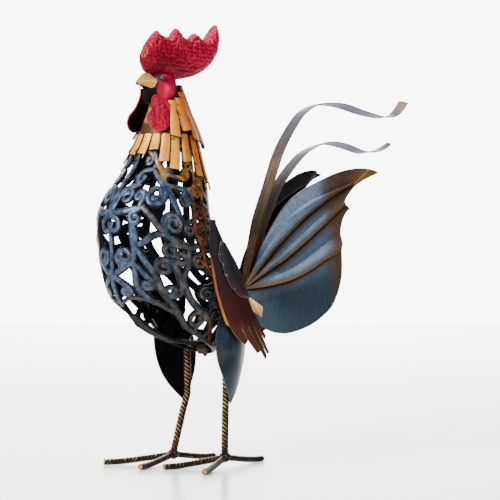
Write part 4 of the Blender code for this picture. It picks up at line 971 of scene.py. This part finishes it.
def wing_finish():
    """Dark lacquer, brushed lengthwise, rubbed to copper along the cut edges."""
    material, tree, shader = new_material("wing_lacquer", 0.5)
    _, grain = uneven_masks(tree, 130.0, 1200.0)
    streaks = brushed(tree, (1.6, 0.10, 1.0))
    whole = wear_and_shade_mark(tree, "rim", grain, 1.6, 0.1, 0.6)
    rubbed = mix_colour(tree, whole, read_mark(tree, "edge", "Color"), read_mark(tree, "paint", "Color"))
    light = mix_colour(tree, spread(tree, streaks, 0.4, 0.75), rubbed, WING_LIGHT, "MULTIPLY")
    lay_coat(tree, shader, mix_colour(tree, read_mark(tree, "face"), WING_BACK, light),
             (streaks, 0.3, 0.28), (streaks, 0.0003, 0.4))
    return material


def side_plate(flat, lift, side, thickness, edge, other_edge, worn):
    """A grid of (y, z) set on the wing's side by a lift, as a plate whose front faces away from the body.

    Its cut edges turn from one colour to the other by worn, a share for each height.
    """
    y, z = flat[..., 0], flat[..., 1]
    grid = np.stack([side * (wing_side(y, z) + lift), y, z], axis=-1)
    return sheet(grid, thickness, (side, 0, 0), paint=wing_paint(y, z), edge=blend(edge, other_edge, worn(z)))


def wing_strip(side, number, top, middle, tip, width):
    """One strip at the blade's end: bowed across, lifted off the strip beside it and cut on a slant."""
    line = even_line((top, middle, tip), 40)
    travel = unit(np.gradient(line, axis=0))
    across = np.stack([-travel[:, 1], travel[:, 0]], axis=1)
    share = np.linspace(0, 1, 40)
    reach = np.linspace(-1, 1, 9)
    half = width / 2 * (0.82 + 0.18 * np.sin(math.pi * share)) * np.clip(0.35 + share * 5, 0, 1)
    half = half * (1 - 0.2 * share**2)
    flat = line[:, None] + across[:, None] * (half[:, None] * reach)[..., None]
    flat[-1] += travel[-1] * 0.9 * reach[:, None] * (1 if number % 2 else -1)
    lift = 0.1 + (0.65 + 0.35 * (number % 2)) * ramp(share, 0.1, 0.45)[:, None]
    lift = lift + 0.9 * share[:, None] ** 2 * (0.5 + 0.5 * (number % 3)) + 0.45 * (1 - reach**2)
    points, faces, marks = side_plate(flat, lift, side, STRIP_SHEET, COPPER_EDGE, WING_MAROON,
                                      lambda z: ramp(z, 138, 148))
    marks["paint"] *= 1.0 + 0.18 * math.sin(number * 2.3)
    return points, faces, marks


def twisted_wire(side):
    """Wire down the blade's front edge: its radius swells twice in a turn, and the swell winds along it."""
    y, z = even_line(BLADE_FRONT[2:7], WIRE_STEPS).T
    centre = np.stack([side * (wing_side(y, z) + 1.0), y - 0.4, z], axis=1)
    travel = unit(np.gradient(centre, axis=0))
    first = unit(np.cross(travel, (1.0, 0.0, 0.0)))
    turn = np.linspace(0, 2 * math.pi, 13)[:-1]
    step = np.arange(WIRE_STEPS)[:, None]
    swell = np.cos(2 * (turn - step * 0.42))
    radius = WIRE_RADIUS * (1 + 0.16 * swell) * np.clip(step / 30, 0.5, 1)
    rope = rings_round(centre, first, np.cross(travel, first), radius * np.cos(turn), radius * np.sin(turn))
    z = np.repeat(centre[:, 2], len(turn))
    bright = blend(WIRE_BLACK, WIRE_COPPER, ramp(-z, -218, -196))
    bright = blend(bright, WIRE_GOLD, ramp(-z, -166, -152))
    paint = blend(WIRE_GROOVE, (1.0, 1.0, 1.0), (0.5 + 0.5 * swell).ravel()) * bright
    return (rope.reshape(-1, 3), tube_faces(*rope.shape[:2]),
            even_marks(len(paint), paint=paint, edge=paint, rim=4.0, lane=(0.0, 0.0, 0.0)))


def cover_plate(side):
    """The shorter plate over the blade's rear half, with a ragged front edge."""
    flat = between(COVER_FRONT, COVER_REAR, 70, 22)
    ragged = 0.7 * np.sin(np.linspace(0, 46, 70)) * np.sin(np.linspace(0, 17, 70))
    flat[..., 0] -= ragged[:, None] * np.linspace(1, 0, 22)[None] ** 3
    bow = 1.4 * np.sin(math.pi * np.linspace(0, 1, 22))[None]
    points, faces, marks = side_plate(flat, COVER_LIFT + bow, side, BLADE_SHEET, COVER_EDGE, COPPER_EDGE,
                                      lambda z: np.full_like(z, 0.2))
    marks["paint"] = blend(COVER_BLACK, COVER_PLUM, ramp(-points[:, 2], -200, -172))
    return points, faces, marks


wing_lacquer = wing_finish()
tack_marks = even_marks(len(bead), paint=TACK_GREY, edge=TACK_EDGE, lane=(0.0, 0.0, 0.0))
for side, word in SIDES:
    parts = [side_plate(between(BLADE_FRONT, BLADE_REAR, 90, 36), 0.6, side, BLADE_SHEET, SHOULDER_EDGE,
                        COPPER_EDGE, lambda z: ramp(-z, -200, -165))]
    for number, strip in enumerate(WING_STRIPS):
        parts.append(wing_strip(side, number, *strip))
    parts.append(twisted_wire(side))
    make_piece("wing_blade_" + word, *gather(parts), wing_lacquer, "wing_brown", ["wing_" + word])

    parts = [cover_plate(side)]
    for y, z, size in TACKS:
        place = np.array((side * (wing_side(y, z) + 3.2), y, z))
        parts.append((place + size * bead * (0.7, 1, 1.3), bead_faces, tack_marks))
    make_piece("wing_cover_plate_" + word, *gather(parts), wing_lacquer, "cover_grey", ["wing_cover_" + word])

# Tail. Two fan plates stand in a V on a small block at the rump, each pressed into bulging fields
# between three ridged creases, with scallops where the creases meet the rear edge. They are blue, with silver
# and a painted sheen on the swells, a painted shadow under each crease, brown and gold along the creases
# and the edges, and plain black inside.
TAIL_ROOT = np.array((6.0, 118.0, 180.0))
TAIL_SPREAD = math.radians(11.0)
FAN_TOP = ((0.5, 2), (12, 21), (24, 46), (40, 71), (60, 93), (80, 106), (100, 115), (120, 123), (140, 128),
           (160, 129.5), (176, 125.6))
FAN_REAR = ((161, 119), (147, 111.5), (136, 102), (130.5, 94), (131.5, 89), (138.4, 85.3))
FAN_SIDE = ((138.4, 85.3), (131.5, 78.5), (126.2, 69), (123.8, 58), (128.4, 47.6))
FAN_LOW = ((128.4, 47.6), (128.6, 34), (127.5, 16), (123, -1), (113, -19.5), (101, -30), (87, -38.5),
           (70, -45), (52, -48.5), (34, -46), (19, -36.5), (9, -20), (3, -8), (1, -1))
FAN_SHEET = 1.2
FAN_BLUE = (0.080, 0.122, 0.185)
FAN_SILVER_SHEEN = (0.260, 0.360, 0.480)
FAN_BROWN = (0.098, 0.053, 0.021)
FAN_CREASE_SHADOW = (0.014, 0.011, 0.009)
FAN_GOLD = (0.250, 0.140, 0.045)
FAN_TEAL = (0.036, 0.058, 0.074)
TAIL_RIM = (0.100, 0.062, 0.030)
TAIL_BACK = (0.007, 0.007, 0.009)


def crease_angles(reach):
    """Direction of the fan's upper edge, three creases and lower edge, in degrees, by distance out."""
    top = np.interp(reach, (10, 60, 110, 150, 200), (68, 60, 50, 43, 36))
    first = np.interp(reach, (10, 60, 110, 180), (47, 46, 43.5, 38.5))
    second = np.interp(reach, (10, 60, 110, 180), (31, 30, 32.5, 34.5))
    third = np.interp(reach, (10, 60, 110, 180), (3, 8, 16, 20))
    return top, first, second, third, np.full_like(reach, -62.0)


def fan_form(out, up):
    """Bulge of the fan and the distance from its nearest crease: a half sine across each field, a raised
    line along each crease and a groove just under it."""
    angle = np.degrees(np.arctan2(up, np.maximum(out, 1.0)))
    reach = np.hypot(out, up)
    lines = crease_angles(reach)
    bulge = np.zeros_like(reach)
    for high, base, size in zip(lines, lines[1:], (1.0, 1.0, 1.0, 1.2)):
        share = np.clip((angle - base) / np.maximum(high - base, 1e-3), 0, 1)
        bulge += size * np.sin(math.pi * share) * (share > 0) * (share < 1)
    bulge = 4.5 * bulge * np.clip(reach / 45, 0, 1) ** 1.2
    gap = np.full_like(reach, 99.0)
    for line in lines[1:4]:
        away = np.radians(angle - line) * reach
        bulge += 0.9 * np.exp(-((away - 0.3) / 0.8) ** 2) - 0.7 * np.exp(-((away + 1.5) / 0.8) ** 2)
        gap = np.where(np.abs(away) < np.abs(gap), away, gap)
    return bulge, gap


def fan_paint(out, up, gap):
    """Blue, with silver paint and a painted sheen on the swells, brown beside the creases and towards the
    rear edge, a painted shadow line just under each crease, teal low down.
    """
    points = np.stack([out, up, 0 * out], axis=-1)
    uneven = wave_noise(points, 16.0, 2.2)
    # silver paint with a painted sheen, on the swells away from the creases
    silver_sheen = ramp(gap + 2 * uneven, 1, 13) * ramp(out, 8, 36) * ramp(-out, -135, -100)
    colour = blend(FAN_BLUE, FAN_SILVER_SHEEN, 0.9 * silver_sheen)
    teal = ramp(-up + 0.2 * out + 5 * uneven, -8, 22) * ramp(-gap, 2, 16)
    colour = blend(colour, FAN_TEAL, 0.9 * teal)
    colour = blend(colour, FAN_BROWN, 0.85 * np.exp(-((gap + 1.0) / 5.0) ** 2))
    # a painted shadow line just under each crease
    colour = blend(colour, FAN_CREASE_SHADOW, 0.8 * np.exp(-((gap + 2.2) / 1.3) ** 2))
    colour = blend(colour, FAN_GOLD, 0.55 * np.exp(-((gap - 0.6) / 1.3) ** 2))
    rear = ramp(out + 0.12 * up + 5 * uneven, 104, 126) * ramp(up, -48, -8)
    colour = blend(colour, FAN_BROWN, 0.88 * rear)
    colour = blend(colour, FAN_GOLD, 0.6 * ramp(out + 4 * uneven, 128, 165) * ramp(up, 90, 120))
    return colour


def tail_finish(name, stretch, metallic, lowest):
    """Brushed metallic paint: fine streaks, an edge worn to gold, black on the inner side."""
    material, tree, shader = new_material(name, metallic)
    _, grain = uneven_masks(tree, 60.0, 1000.0)
    streaks = brushed(tree, stretch)
    tone = calculate(tree, "ADD", calculate(tree, "MULTIPLY", streaks, 0.7),
                     calculate(tree, "MULTIPLY", grain, 0.3))
    paint = mix_colour(tree, spread(tree, tone, 0.35, 0.68), read_mark(tree, "dark", "Color"),
                       read_mark(tree, "paint", "Color"))
    paint = mix_colour(tree, wear_and_shade_mark(tree, "rim", grain, 1.5, 0.2, 1.2), TAIL_RIM, paint)
    lay_coat(tree, shader, mix_colour(tree, read_mark(tree, "face"), TAIL_BACK, paint),
             (tone, 0.35, lowest), (streaks, 0.00025, 0.5))
    return material


def on_fan(side, out, up, lift):
    """Points of a fan's plane by distance out and up from its root, lifted off it; and the way it faces."""
    way = np.array((side * math.cos(TAIL_SPREAD), -math.sin(TAIL_SPREAD), 0.0))
    grid = np.stack([side * (TAIL_ROOT[0] + math.sin(TAIL_SPREAD) * out),
                     TAIL_ROOT[1] + math.cos(TAIL_SPREAD) * out, TAIL_ROOT[2] + up], axis=-1)
    return grid + way * lift[..., None], way


fan_coat = tail_finish("tail_fan_paint", (0.2, 1.5, 1.0), 0.7, 0.24)
rear = np.concatenate([even_line(FAN_LOW[::-1], 150), even_line(FAN_SIDE[::-1], 46)[1:],
                       even_line(FAN_REAR[::-1] + ((176, 124.6),), 60)[1:]])
top = even_line(FAN_TOP, 400)
# the upper edge is walked at a pace that brings its points over those of the other edges
travel = travelled(rear)
pace = np.interp(travel, (0, 150, 226, 276, travel[-1]), (0.0, 0.34, 0.56, 0.76, 1.0))
top = np.stack([np.interp(pace, np.linspace(0, 1, 400), column) for column in top.T], axis=1)
share = np.linspace(0, 1, 120)[None, :, None]
flat = top[:, None] * (1 - share) + rear[:, None] * share
out, up = flat[..., 0], flat[..., 1]
bulge, gap = fan_form(out, up)
paint = fan_paint(out, up, gap)
for side, word in SIDES:
    grid, way = on_fan(side, out, up, bulge)
    points, faces, marks = sheet(grid, FAN_SHEET, way, paint=paint, dark=paint * 0.6)
    make_piece("fan_plate_" + word, points, faces, marks, fan_coat, "tail_blue", ["tail_fan_" + word], 50)

# Saddle tabs. A short brass-coloured strip lies outside each fan's root, under the wing's end. It
# follows the fan's bulge a little way off it.
SADDLE = np.array(((1, -6), (20, -19.5), (18, -31), (7, -24)), float)
SADDLE_LIFT = 1.5
SADDLE_PALE = (0.58, 0.36, 0.14)
SADDLE_DEEP = (0.46, 0.25, 0.085)

u, v = np.meshgrid(np.linspace(0, 1, 12), np.linspace(0, 1, 26))
across = u[..., None]
down = v[..., None]
flat = ((SADDLE[0] * (1 - across) + SADDLE[1] * across) * (1 - down)
        + (SADDLE[3] * (1 - across) + SADDLE[2] * across) * down)
out, up = flat[..., 0], flat[..., 1]
bulge, _ = fan_form(out, up)
lift = bulge * 0.9 + SADDLE_LIFT + 0.2 * np.maximum(0, 2 - up) + 0.5 * np.sin(math.pi * u)
paint = blend(SADDLE_PALE, SADDLE_DEEP, ramp(v, 0.1, 0.9))
for side, word in SIDES:
    grid, way = on_fan(side, out, up, lift)
    points, faces, marks = sheet(grid, FAN_SHEET, way, paint=paint)
    make_piece("saddle_tab_" + word, points, faces, marks, pale_gold, "saddle_gold",
               ["saddle_feather_" + word])

# Plumes. Two long flat bars rise from the rump block between the fans, arch back and curl up at their
# ends. Each turns a little about its own length; they are brushed grey-brown with blackened edges, and
# bluish underneath.
LONG_PLUME = ((126.8, 176), (129.5, 200), (137, 226), (146, 254), (159.5, 284), (179, 327), (205, 361),
              (224, 374.5), (243, 380), (276, 380.5), (309, 375), (344, 371), (365, 374), (379, 384),
              (385, 391))
SHORT_PLUME = ((128.4, 176), (133, 200), (143, 224), (153.5, 248), (176, 288), (203, 316), (224, 329.5),
               (251, 337.5), (281, 336), (311, 330), (335, 332), (350, 337), (359.5, 342))
PLUME_WIDTH = 15.0
PLUME_SHEET = 1.1
PLUME_STEPS = 150
PLUME_ROOT = (0.240, 0.155, 0.070)
PLUME_BROWN = (0.190, 0.135, 0.090)
PLUME_BLUE = (0.100, 0.096, 0.155)
PLUME_TIP = (0.220, 0.140, 0.085)
UNDER_BLUE = (0.095, 0.100, 0.190)
UNDER_DARK = (0.040, 0.040, 0.085)
RUMP_BROWN = (0.200, 0.110, 0.050)


def smoothed(line, reach):
    """A line's columns, each averaged over its neighbours up to reach points away, its ends held."""
    padded = np.pad(line, ((reach, reach), (0, 0)), "edge")
    weights = np.ones(2 * reach + 1) / (2 * reach + 1)
    return np.stack([np.convolve(column, weights, "valid") for column in padded.T], axis=1)


def plume(stops, turn, tip):
    """A flat bar along the side view's line: it is narrow at its root, widest a fifth of the way along,
    and twisted evenly about its own length. Its front looks forward and up."""
    line = even_line(stops, PLUME_STEPS)
    along = unit(np.gradient(line, axis=0))
    share = np.linspace(0, 1, PLUME_STEPS)
    half = np.interp(share, (0, 0.06, 0.2, 0.9, 1), (5.1, 5.4, PLUME_WIDTH / 2, 6.0, tip))
    twist = turn * np.interp(share, (0.12, 0.4, 0.55, 0.75, 0.88, 1.0), (0, 0.15, 0.05, -0.35, -0.1, 0.4))
    twist = smoothed(twist[:, None], 8)
    back = np.stack([0 * share, along[:, 1], -along[:, 0]], axis=1)
    side = np.cos(twist) * (1.0, 0.0, 0.0) + np.sin(twist) * back
    across = np.linspace(-1, 1, 13)
    centre = np.stack([0 * share, line[:, 0], line[:, 1]], axis=1)
    grid = rings_round(centre, side, back, half[:, None] * across, -0.25 * (1 - across[None] ** 2))
    colour = blend(PLUME_BROWN, PLUME_ROOT, ramp(-share, -0.16, 0.0))
    colour = blend(colour, PLUME_BLUE, 0.75 * ramp(share, 0.28, 0.5))
    colour = blend(colour, PLUME_TIP, ramp(share, 0.93, 0.99))[:, None]
    points, faces, marks = sheet(grid, PLUME_SHEET, -back[:, None], paint=colour, dark=colour * 0.4)
    under = marks["face"] < 0.5
    marks["paint"][under] = UNDER_BLUE
    marks["dark"][under] = UNDER_DARK
    marks["face"] = np.ones(len(points))
    return points, faces, marks


plume_coat = tail_finish("brushed_plume", (1.7, 0.05, 1.0), 0.75, 0.28)
for name, stops, turn, tip, node in (("plume_long", LONG_PLUME, 1.0, 6.0, "tail_ribbon_long"),
                                     ("plume_short", SHORT_PLUME, 0.9, 3.0, "tail_ribbon_short")):
    points, faces, marks = plume(stops, turn, tip)
    make_piece(name, points, faces, marks, plume_coat, "ribbon_grey", [node])

low, high = (np.array(corner) * 1000 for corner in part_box("tail_boss"))
u, v = np.meshgrid(np.linspace(0, 1, 30), np.linspace(0, 2 * math.pi, 41)[:-1], indexing="ij")
reach = np.minimum(1, (1 - np.abs(2 * u - 1) ** 6)) ** 0.5
half = (high - low) / 2
x, y = (size * reach * np.sign(wave) * np.abs(wave) ** 0.5
        for size, wave in ((half[0], np.sin(v)), (half[1], np.cos(v))))
lump = np.stack([x, y + low[1] + half[1] - AXIS_Y, low[2] + 2 * half[2] * u], axis=-1)
brown = np.array(RUMP_BROWN)
make_piece("rump_block", lump.reshape(-1, 3), tube_faces(*u.shape),
           even_marks(u.size, paint=brown, dark=brown * 0.25), plume_coat, "rump_brown", ["tail_boss"])

# Thighs. Each is a leaf of thin sheet, hammered hollow so that it cups outward, welded to the rear of
# the belly's rim over the leg. Dark slate outside with a blue sheen and a worn rim, black inside.
THIGH_FRONT = ((57.5, 168.5), (50, 162), (44.5, 153), (41, 142), (40, 125), (44, 106), (55, 85), (70, 65.2))
THIGH_REAR = ((59, 169), (67, 163.5), (77, 152), (85, 140), (90, 120), (87.5, 98), (80, 77), (71.8, 64.4))
THIGH_SHEET = 1.2
THIGH_BLUE = (0.018, 0.029, 0.044)
THIGH_SLATE = (0.034, 0.034, 0.029)
THIGH_RIM = (0.060, 0.063, 0.075)
THIGH_BACK = (0.006, 0.006, 0.007)


def thigh_finish():
    """Slate paint with soft clouds, a thin rim worn to grey, black inside."""
    material, tree, shader = new_material("thigh_slate_paint", 0.65)
    cloud, grain = uneven_masks(tree, 45.0, 1300.0)
    paint = mix_colour(tree, spread(tree, cloud, 0.35, 0.65), read_mark(tree, "dark", "Color"),
                       read_mark(tree, "paint", "Color"))
    paint = mix_colour(tree, wear_and_shade_mark(tree, "rim", grain, 1.0, 0.2, 1.0), THIGH_RIM, paint)
    lay_coat(tree, shader, mix_colour(tree, read_mark(tree, "face"), THIGH_BACK, paint),
             (grain, 0.3, 0.24), (grain, 0.0002, 0.4))
    return material


thigh_coat = thigh_finish()
flat = between(THIGH_FRONT, THIGH_REAR, 90, 44)
y, z = flat[..., 0], flat[..., 1]
cup = np.clip(1 - ((y - 64) / 25.0) ** 2 - ((z - 118) / 54.0) ** 2, 0, 1)
x = np.interp(z, (66, 90, 125, 168), (38.2, 40.0, 44.5, 49.0)) - 0.2 * np.maximum(0, y - 52) + 9.0 * cup
uneven = wave_noise(np.stack([0 * y, y, z], axis=-1), 22.0, 4.0)
paint = blend(THIGH_BLUE, THIGH_SLATE, ramp(uneven - 0.012 * (z - 120), -0.1, 0.7))
for side, word in SIDES:
    grid = np.stack([side * (x + THIGH_SHEET / 2), y, z], axis=-1)
    points, faces, marks = sheet(grid, THIGH_SHEET, (side, 0, 0), paint=paint, dark=paint * 0.5)
    make_piece("thigh_leaf_" + word, points, faces, marks, thigh_coat, "thigh_slate", ["thigh_" + word])

# Legs and feet. Lengths of ribbed reinforcing bar: one straight leg, one bent back at the hock, and
# three bars welded into each foot, cut square at their ends. Black, with gold brushed over the ribs and
# the heat colours of the weld at the ankle.
LEFT_LEG = ((29, 70.5, 76), (29, 69, 11.5))
RIGHT_LEG = ((-28.7, 71.4, 72), (-29, 65, 54), (-29, 51.6, 11.5))
LEG_RADIUS = 3.85
LEG_RIB = 0.5
TOE_RADIUS = 3.25
TOE_RIB = 0.38
TOES = ((68, -18), (73, 30), (57, 182))    # length, and direction in degrees from straight ahead
TOE_ROOT = 9.5             # height of a toe's middle at the ankle
TOE_REST = 0.82            # share of its length where a toe comes to rest on the floor
TOE_CLEAR = 0.12           # and how far off it, so that the ribs just clear it
WELD_HEIGHT = 9.6
WELD_SIZE = (6.0, 6.4, 5.4)
RIB_PITCH = 4.0
RIB_THREADS = 4
BAR_SIDES = 32
BAR_GOLD = (0.360, 0.235, 0.085)
BAR_BLACK = (0.012, 0.009, 0.008)
WELD_RED = np.array((0.200, 0.035, 0.014))
WELD_BROWN = (0.200, 0.090, 0.050)


def ribbed_bar(centre, radius, ribs, tint):
    """A round bar along a line, with threads of ribs wound round it and two ridges along it.

    The ribs are the positive part of a sine of the turn times the threads plus the distance travelled
    over the pitch.
    """
    travel = unit(np.gradient(centre, axis=0))
    first = unit(np.cross(travel, (1.0, 0.2, 0.0)))
    gone = travelled(centre)
    turn = np.linspace(0, 2 * math.pi, BAR_SIDES + 1)[:-1]
    thread = np.sin(RIB_THREADS * turn[None] + gone[:, None] * 2 * math.pi / RIB_PITCH)
    rise = ramp(thread, 0.0, 0.9) * ribs * np.abs(np.cos(turn)) ** 0.4
    ridge = sum(np.exp(-((wave(turn / 2 + math.pi / 4) ** 2 - 1) / 0.02) ** 2) for wave in (np.sin, np.cos))
    size = radius - ribs + np.maximum(rise, 0.8 * ribs * ridge)
    soft = np.clip(np.minimum(gone, gone[-1] - gone)[:, None] / 0.8, 0, 1)
    size = size * (0.86 + 0.14 * soft)
    rings = rings_round(centre, first, np.cross(travel, first), size * np.cos(turn), size * np.sin(turn))
    crown = np.clip(rise / ribs, 0, 1) * soft + (1 - soft)
    return (rings.reshape(-1, 3), tube_faces(*rings.shape[:2]),
            {"crown": crown.ravel(), "paint": np.repeat(tint, BAR_SIDES, axis=0)})


def bar_finish():
    """Black bar with gold on the ribs' tops, patchy along its length."""
    material, tree, shader = new_material("ribbed_bar_paint", 0.6)
    cloud, grain = uneven_masks(tree, 210.0, 1600.0)
    cover = wear_and_shade_mark(tree, "crown", cloud, 2.0, 0.4, 1.1)
    lay_coat(tree, shader, mix_colour(tree, cover, BAR_BLACK, read_mark(tree, "paint", "Color")),
             (grain, 0.35, 0.28), (grain, 0.0003, 0.6))
    return material


def leg_bar(side, stops):
    """A leg from under the belly's rim down through its stops, its bend rounded over."""
    under = body_point(134.5, 150.0)
    knots = np.array(((side * under[0], under[1], under[2] - 3.5),) + stops)
    fine = []
    for a, b in zip(knots, knots[1:]):
        count = max(4, round(np.linalg.norm(b - a) / 0.4))
        fine.append(a + (b - a) * np.linspace(0, 1, count)[:-1, None])
    line = smoothed(np.concatenate(fine + [knots[-1:]]), 9)
    return ribbed_bar(line, LEG_RADIUS, LEG_RIB, blend(WELD_RED, BAR_GOLD, ramp(line[:, 2], 16, 34)))


def toe_bar(side, ankle, length, degrees):
    """A toe from the ankle outwards, sinking to the floor on its way."""
    way = math.radians(degrees)
    share = np.linspace(0, 1, 170)
    rise = np.maximum(0, 1 - share / TOE_REST) ** 1.3
    ahead = np.array((side * math.sin(way), -math.cos(way), 0))
    line = ahead * (length * share)[:, None] + (ankle[0], ankle[1], 0)
    line[:, 2] = TOE_RADIUS + (TOE_ROOT - TOE_RADIUS) * rise + TOE_CLEAR
    return ribbed_bar(line, TOE_RADIUS, TOE_RIB, blend(WELD_RED * 0.5, BAR_GOLD, ramp(share * length, 4, 22)))


def ankle_weld(side, ankle):
    """The lump of weld at the ankle: a ball with an uneven skin."""
    blob, faces = ball(40, 60, 0.02)
    lump = blob * WELD_SIZE * (1 + 0.10 * wave_noise(blob * 9, 3.0, side * 1.7))[:, None]
    points = np.array((ankle[0], ankle[1], WELD_HEIGHT)) + lump
    return points, faces, {"crown": 0.45 + 0.4 * wave_noise(points, 2.4, 1.0),
                           "paint": np.tile(WELD_BROWN, (len(points), 1))}


bar_coat = bar_finish()
for side, word, stops in ((1, "left", LEFT_LEG), (-1, "right", RIGHT_LEG)):
    make_piece("ribbed_leg_" + word, *leg_bar(side, stops), bar_coat, "leg_bronze", ["leg_" + word])
    parts = [toe_bar(side, stops[-1], *toe) for toe in TOES]
    parts.append(ankle_weld(side, stops[-1]))
    make_piece("welded_foot_" + word, *gather(parts), bar_coat, "leg_bronze", ["foot_" + word])

# Hip strap. A flat black bar runs from the front of the belly's opening back to a wide plate under the
# body, which takes the legs' weight; its rear end hangs down in front of the rim.
STRAP = ((-29.5, 156), (-8, 141), (20, 129.5), (36, 126.5), (58, 126.5), (64, 122.5), (66.5, 113.5))
STRAP_HALF = (5, 6, 7, 23, 23, 8, 6.5)
STRAP_SHEET = 3.0
STRAP_BLACK = (0.005, 0.004, 0.004)
STRAP_BRONZE = (0.070, 0.045, 0.022)
STRAP_RUST = (0.016, 0.010, 0.007)

line = even_line(STRAP, 90)
half = np.interp(line[:, 0], [y for y, _ in STRAP], STRAP_HALF)[:, None] * np.linspace(-1, 1, 25)
y, z = (np.broadcast_to(value[:, None], half.shape) for value in line.T)
points, faces, marks = sheet(np.stack([half, y, z], axis=-1), STRAP_SHEET, (0, 0, 1))
marks["paint"] = blend(STRAP_BLACK, STRAP_BRONZE, ramp(-points[:, 2], -121, -117))


def soot_finish():
    """Bare blackened iron, rough and uneven, with a little rust; the hanging end is brushed with bronze."""
    material, tree, shader = new_material("sooty_iron", 0.0)
    cloud, grain = uneven_masks(tree, 120.0, 1200.0)
    colour = mix_colour(tree, spread(tree, cloud, 0.5, 0.8), read_mark(tree, "paint", "Color"), STRAP_RUST)
    link(tree, colour, shader.inputs["Base Color"])
    shader.inputs["Roughness"].default_value = 0.8
    bump(tree, shader, grain, 0.0003, 0.5)
    return material


make_piece("belly_strap", points, faces, marks, soot_finish(), "strap_black", ["hip_strap"])

# Floor, light and camera: a plain white studio, soft light from the upper left, a near-level view of
# the bird's left front.
AZIMUTH = math.radians(45)
LIT_POINT = (0.0, 0.06, 0.23)    # what the lamps look at, from the foot of the bird's axis, in metres
FLOOR_REACH = 12.0
FLOOR_WHITE = (0.93, 0.93, 0.93, 1.0)
WHITE = (1.0, 1.0, 1.0, 1.0)
view_right = np.array((math.cos(AZIMUTH), math.sin(AZIMUTH), 0.0))
view_back = np.array((math.sin(AZIMUTH), -math.cos(AZIMUTH), 0.0))
axis_point = np.array((0.0, AXIS_Y * 0.001, 0.0))


def aim(thing, place, way):
    """Puts a light or camera at a place, looking along a direction with its top up."""
    thing.location = place
    thing.rotation_euler = Vector(way).to_track_quat("-Z", "Y").to_euler()


def soft_light(name, place, size, power, colour, way=None):
    """A square area light that looks along a direction, or at the bird's middle."""
    lamp = bpy.data.lights.new(name, "AREA")
    lamp.size = size
    lamp.energy = power
    lamp.color = colour
    thing = bpy.data.objects.new(name, lamp)
    bpy.context.scene.collection.objects.link(thing)
    aim(thing, place, axis_point + LIT_POINT - np.asarray(place) if way is None else way)


def studio_sheet(name, paint, corners):
    """A flat sheet of the studio between four corners, and its material's shader."""
    mesh = bpy.data.meshes.new(name)
    mesh.from_pydata([tuple(corner) for corner in corners], [], [(0, 1, 2, 3)])
    thing = bpy.data.objects.new(name, mesh)
    bpy.context.scene.collection.objects.link(thing)
    material, _, shader = new_material(paint, 0.0)
    mesh.materials.append(material)
    return thing, shader


world = bpy.data.worlds.new("studio_white")
bpy.context.scene.world = world
world.use_nodes = True
world.node_tree.nodes["Background"].inputs["Color"].default_value = WHITE
world.node_tree.nodes["Background"].inputs["Strength"].default_value = 0.16
soft_light("key", axis_point + view_back * 1.0 - view_right * 1.0 + (0, 0, 1.1), 0.8, 78.0, (1.0, 0.98, 0.95))
soft_light("fill", axis_point + view_back * 1.1 + view_right * 1.0 + (0, 0, 0.5), 0.6, 9.0, (0.92, 0.96, 1.0))
soft_light("top", axis_point - view_back * 0.3 + (0, 0, 1.5), 0.9, 20.0, (0.95, 0.98, 1.0))
soft_light("floor_wash", axis_point - view_back * 2.4 + (0, 0, 1.6), 2.2, 150.0, (1.0, 1.0, 1.0),
           -view_back * 0.25 + (0, 0, -1.0))

corners = FLOOR_REACH * np.array(((-1, -1, 0), (1, -1, 0), (1, 1, 0), (-1, 1, 0)))
floor, shader = studio_sheet("studio_floor", "pale_floor", corners)
shader.inputs["Base Color"].default_value = FLOOR_WHITE
shader.inputs["Roughness"].default_value = 0.22
far = axis_point - view_back * 3.5
wide = view_right * 2.0
corners = (far - wide, far + wide, far + wide + (0, 0, 2), far - wide + (0, 0, 2))
wall, shader = studio_sheet("studio_wall", "lit_wall", corners)
shader.inputs["Emission Color"].default_value = WHITE
shader.inputs["Emission Strength"].default_value = 5.0

lens = bpy.data.cameras.new("camera")
lens.lens = 126.0
lens.sensor_width = 36.0
camera = bpy.data.objects.new("camera", lens)
bpy.context.scene.collection.objects.link(camera)
aim(camera, axis_point + view_right * 0.095 + view_back * 1.75 + (0, 0, 0.22), -view_back)
bpy.context.scene.camera = camera
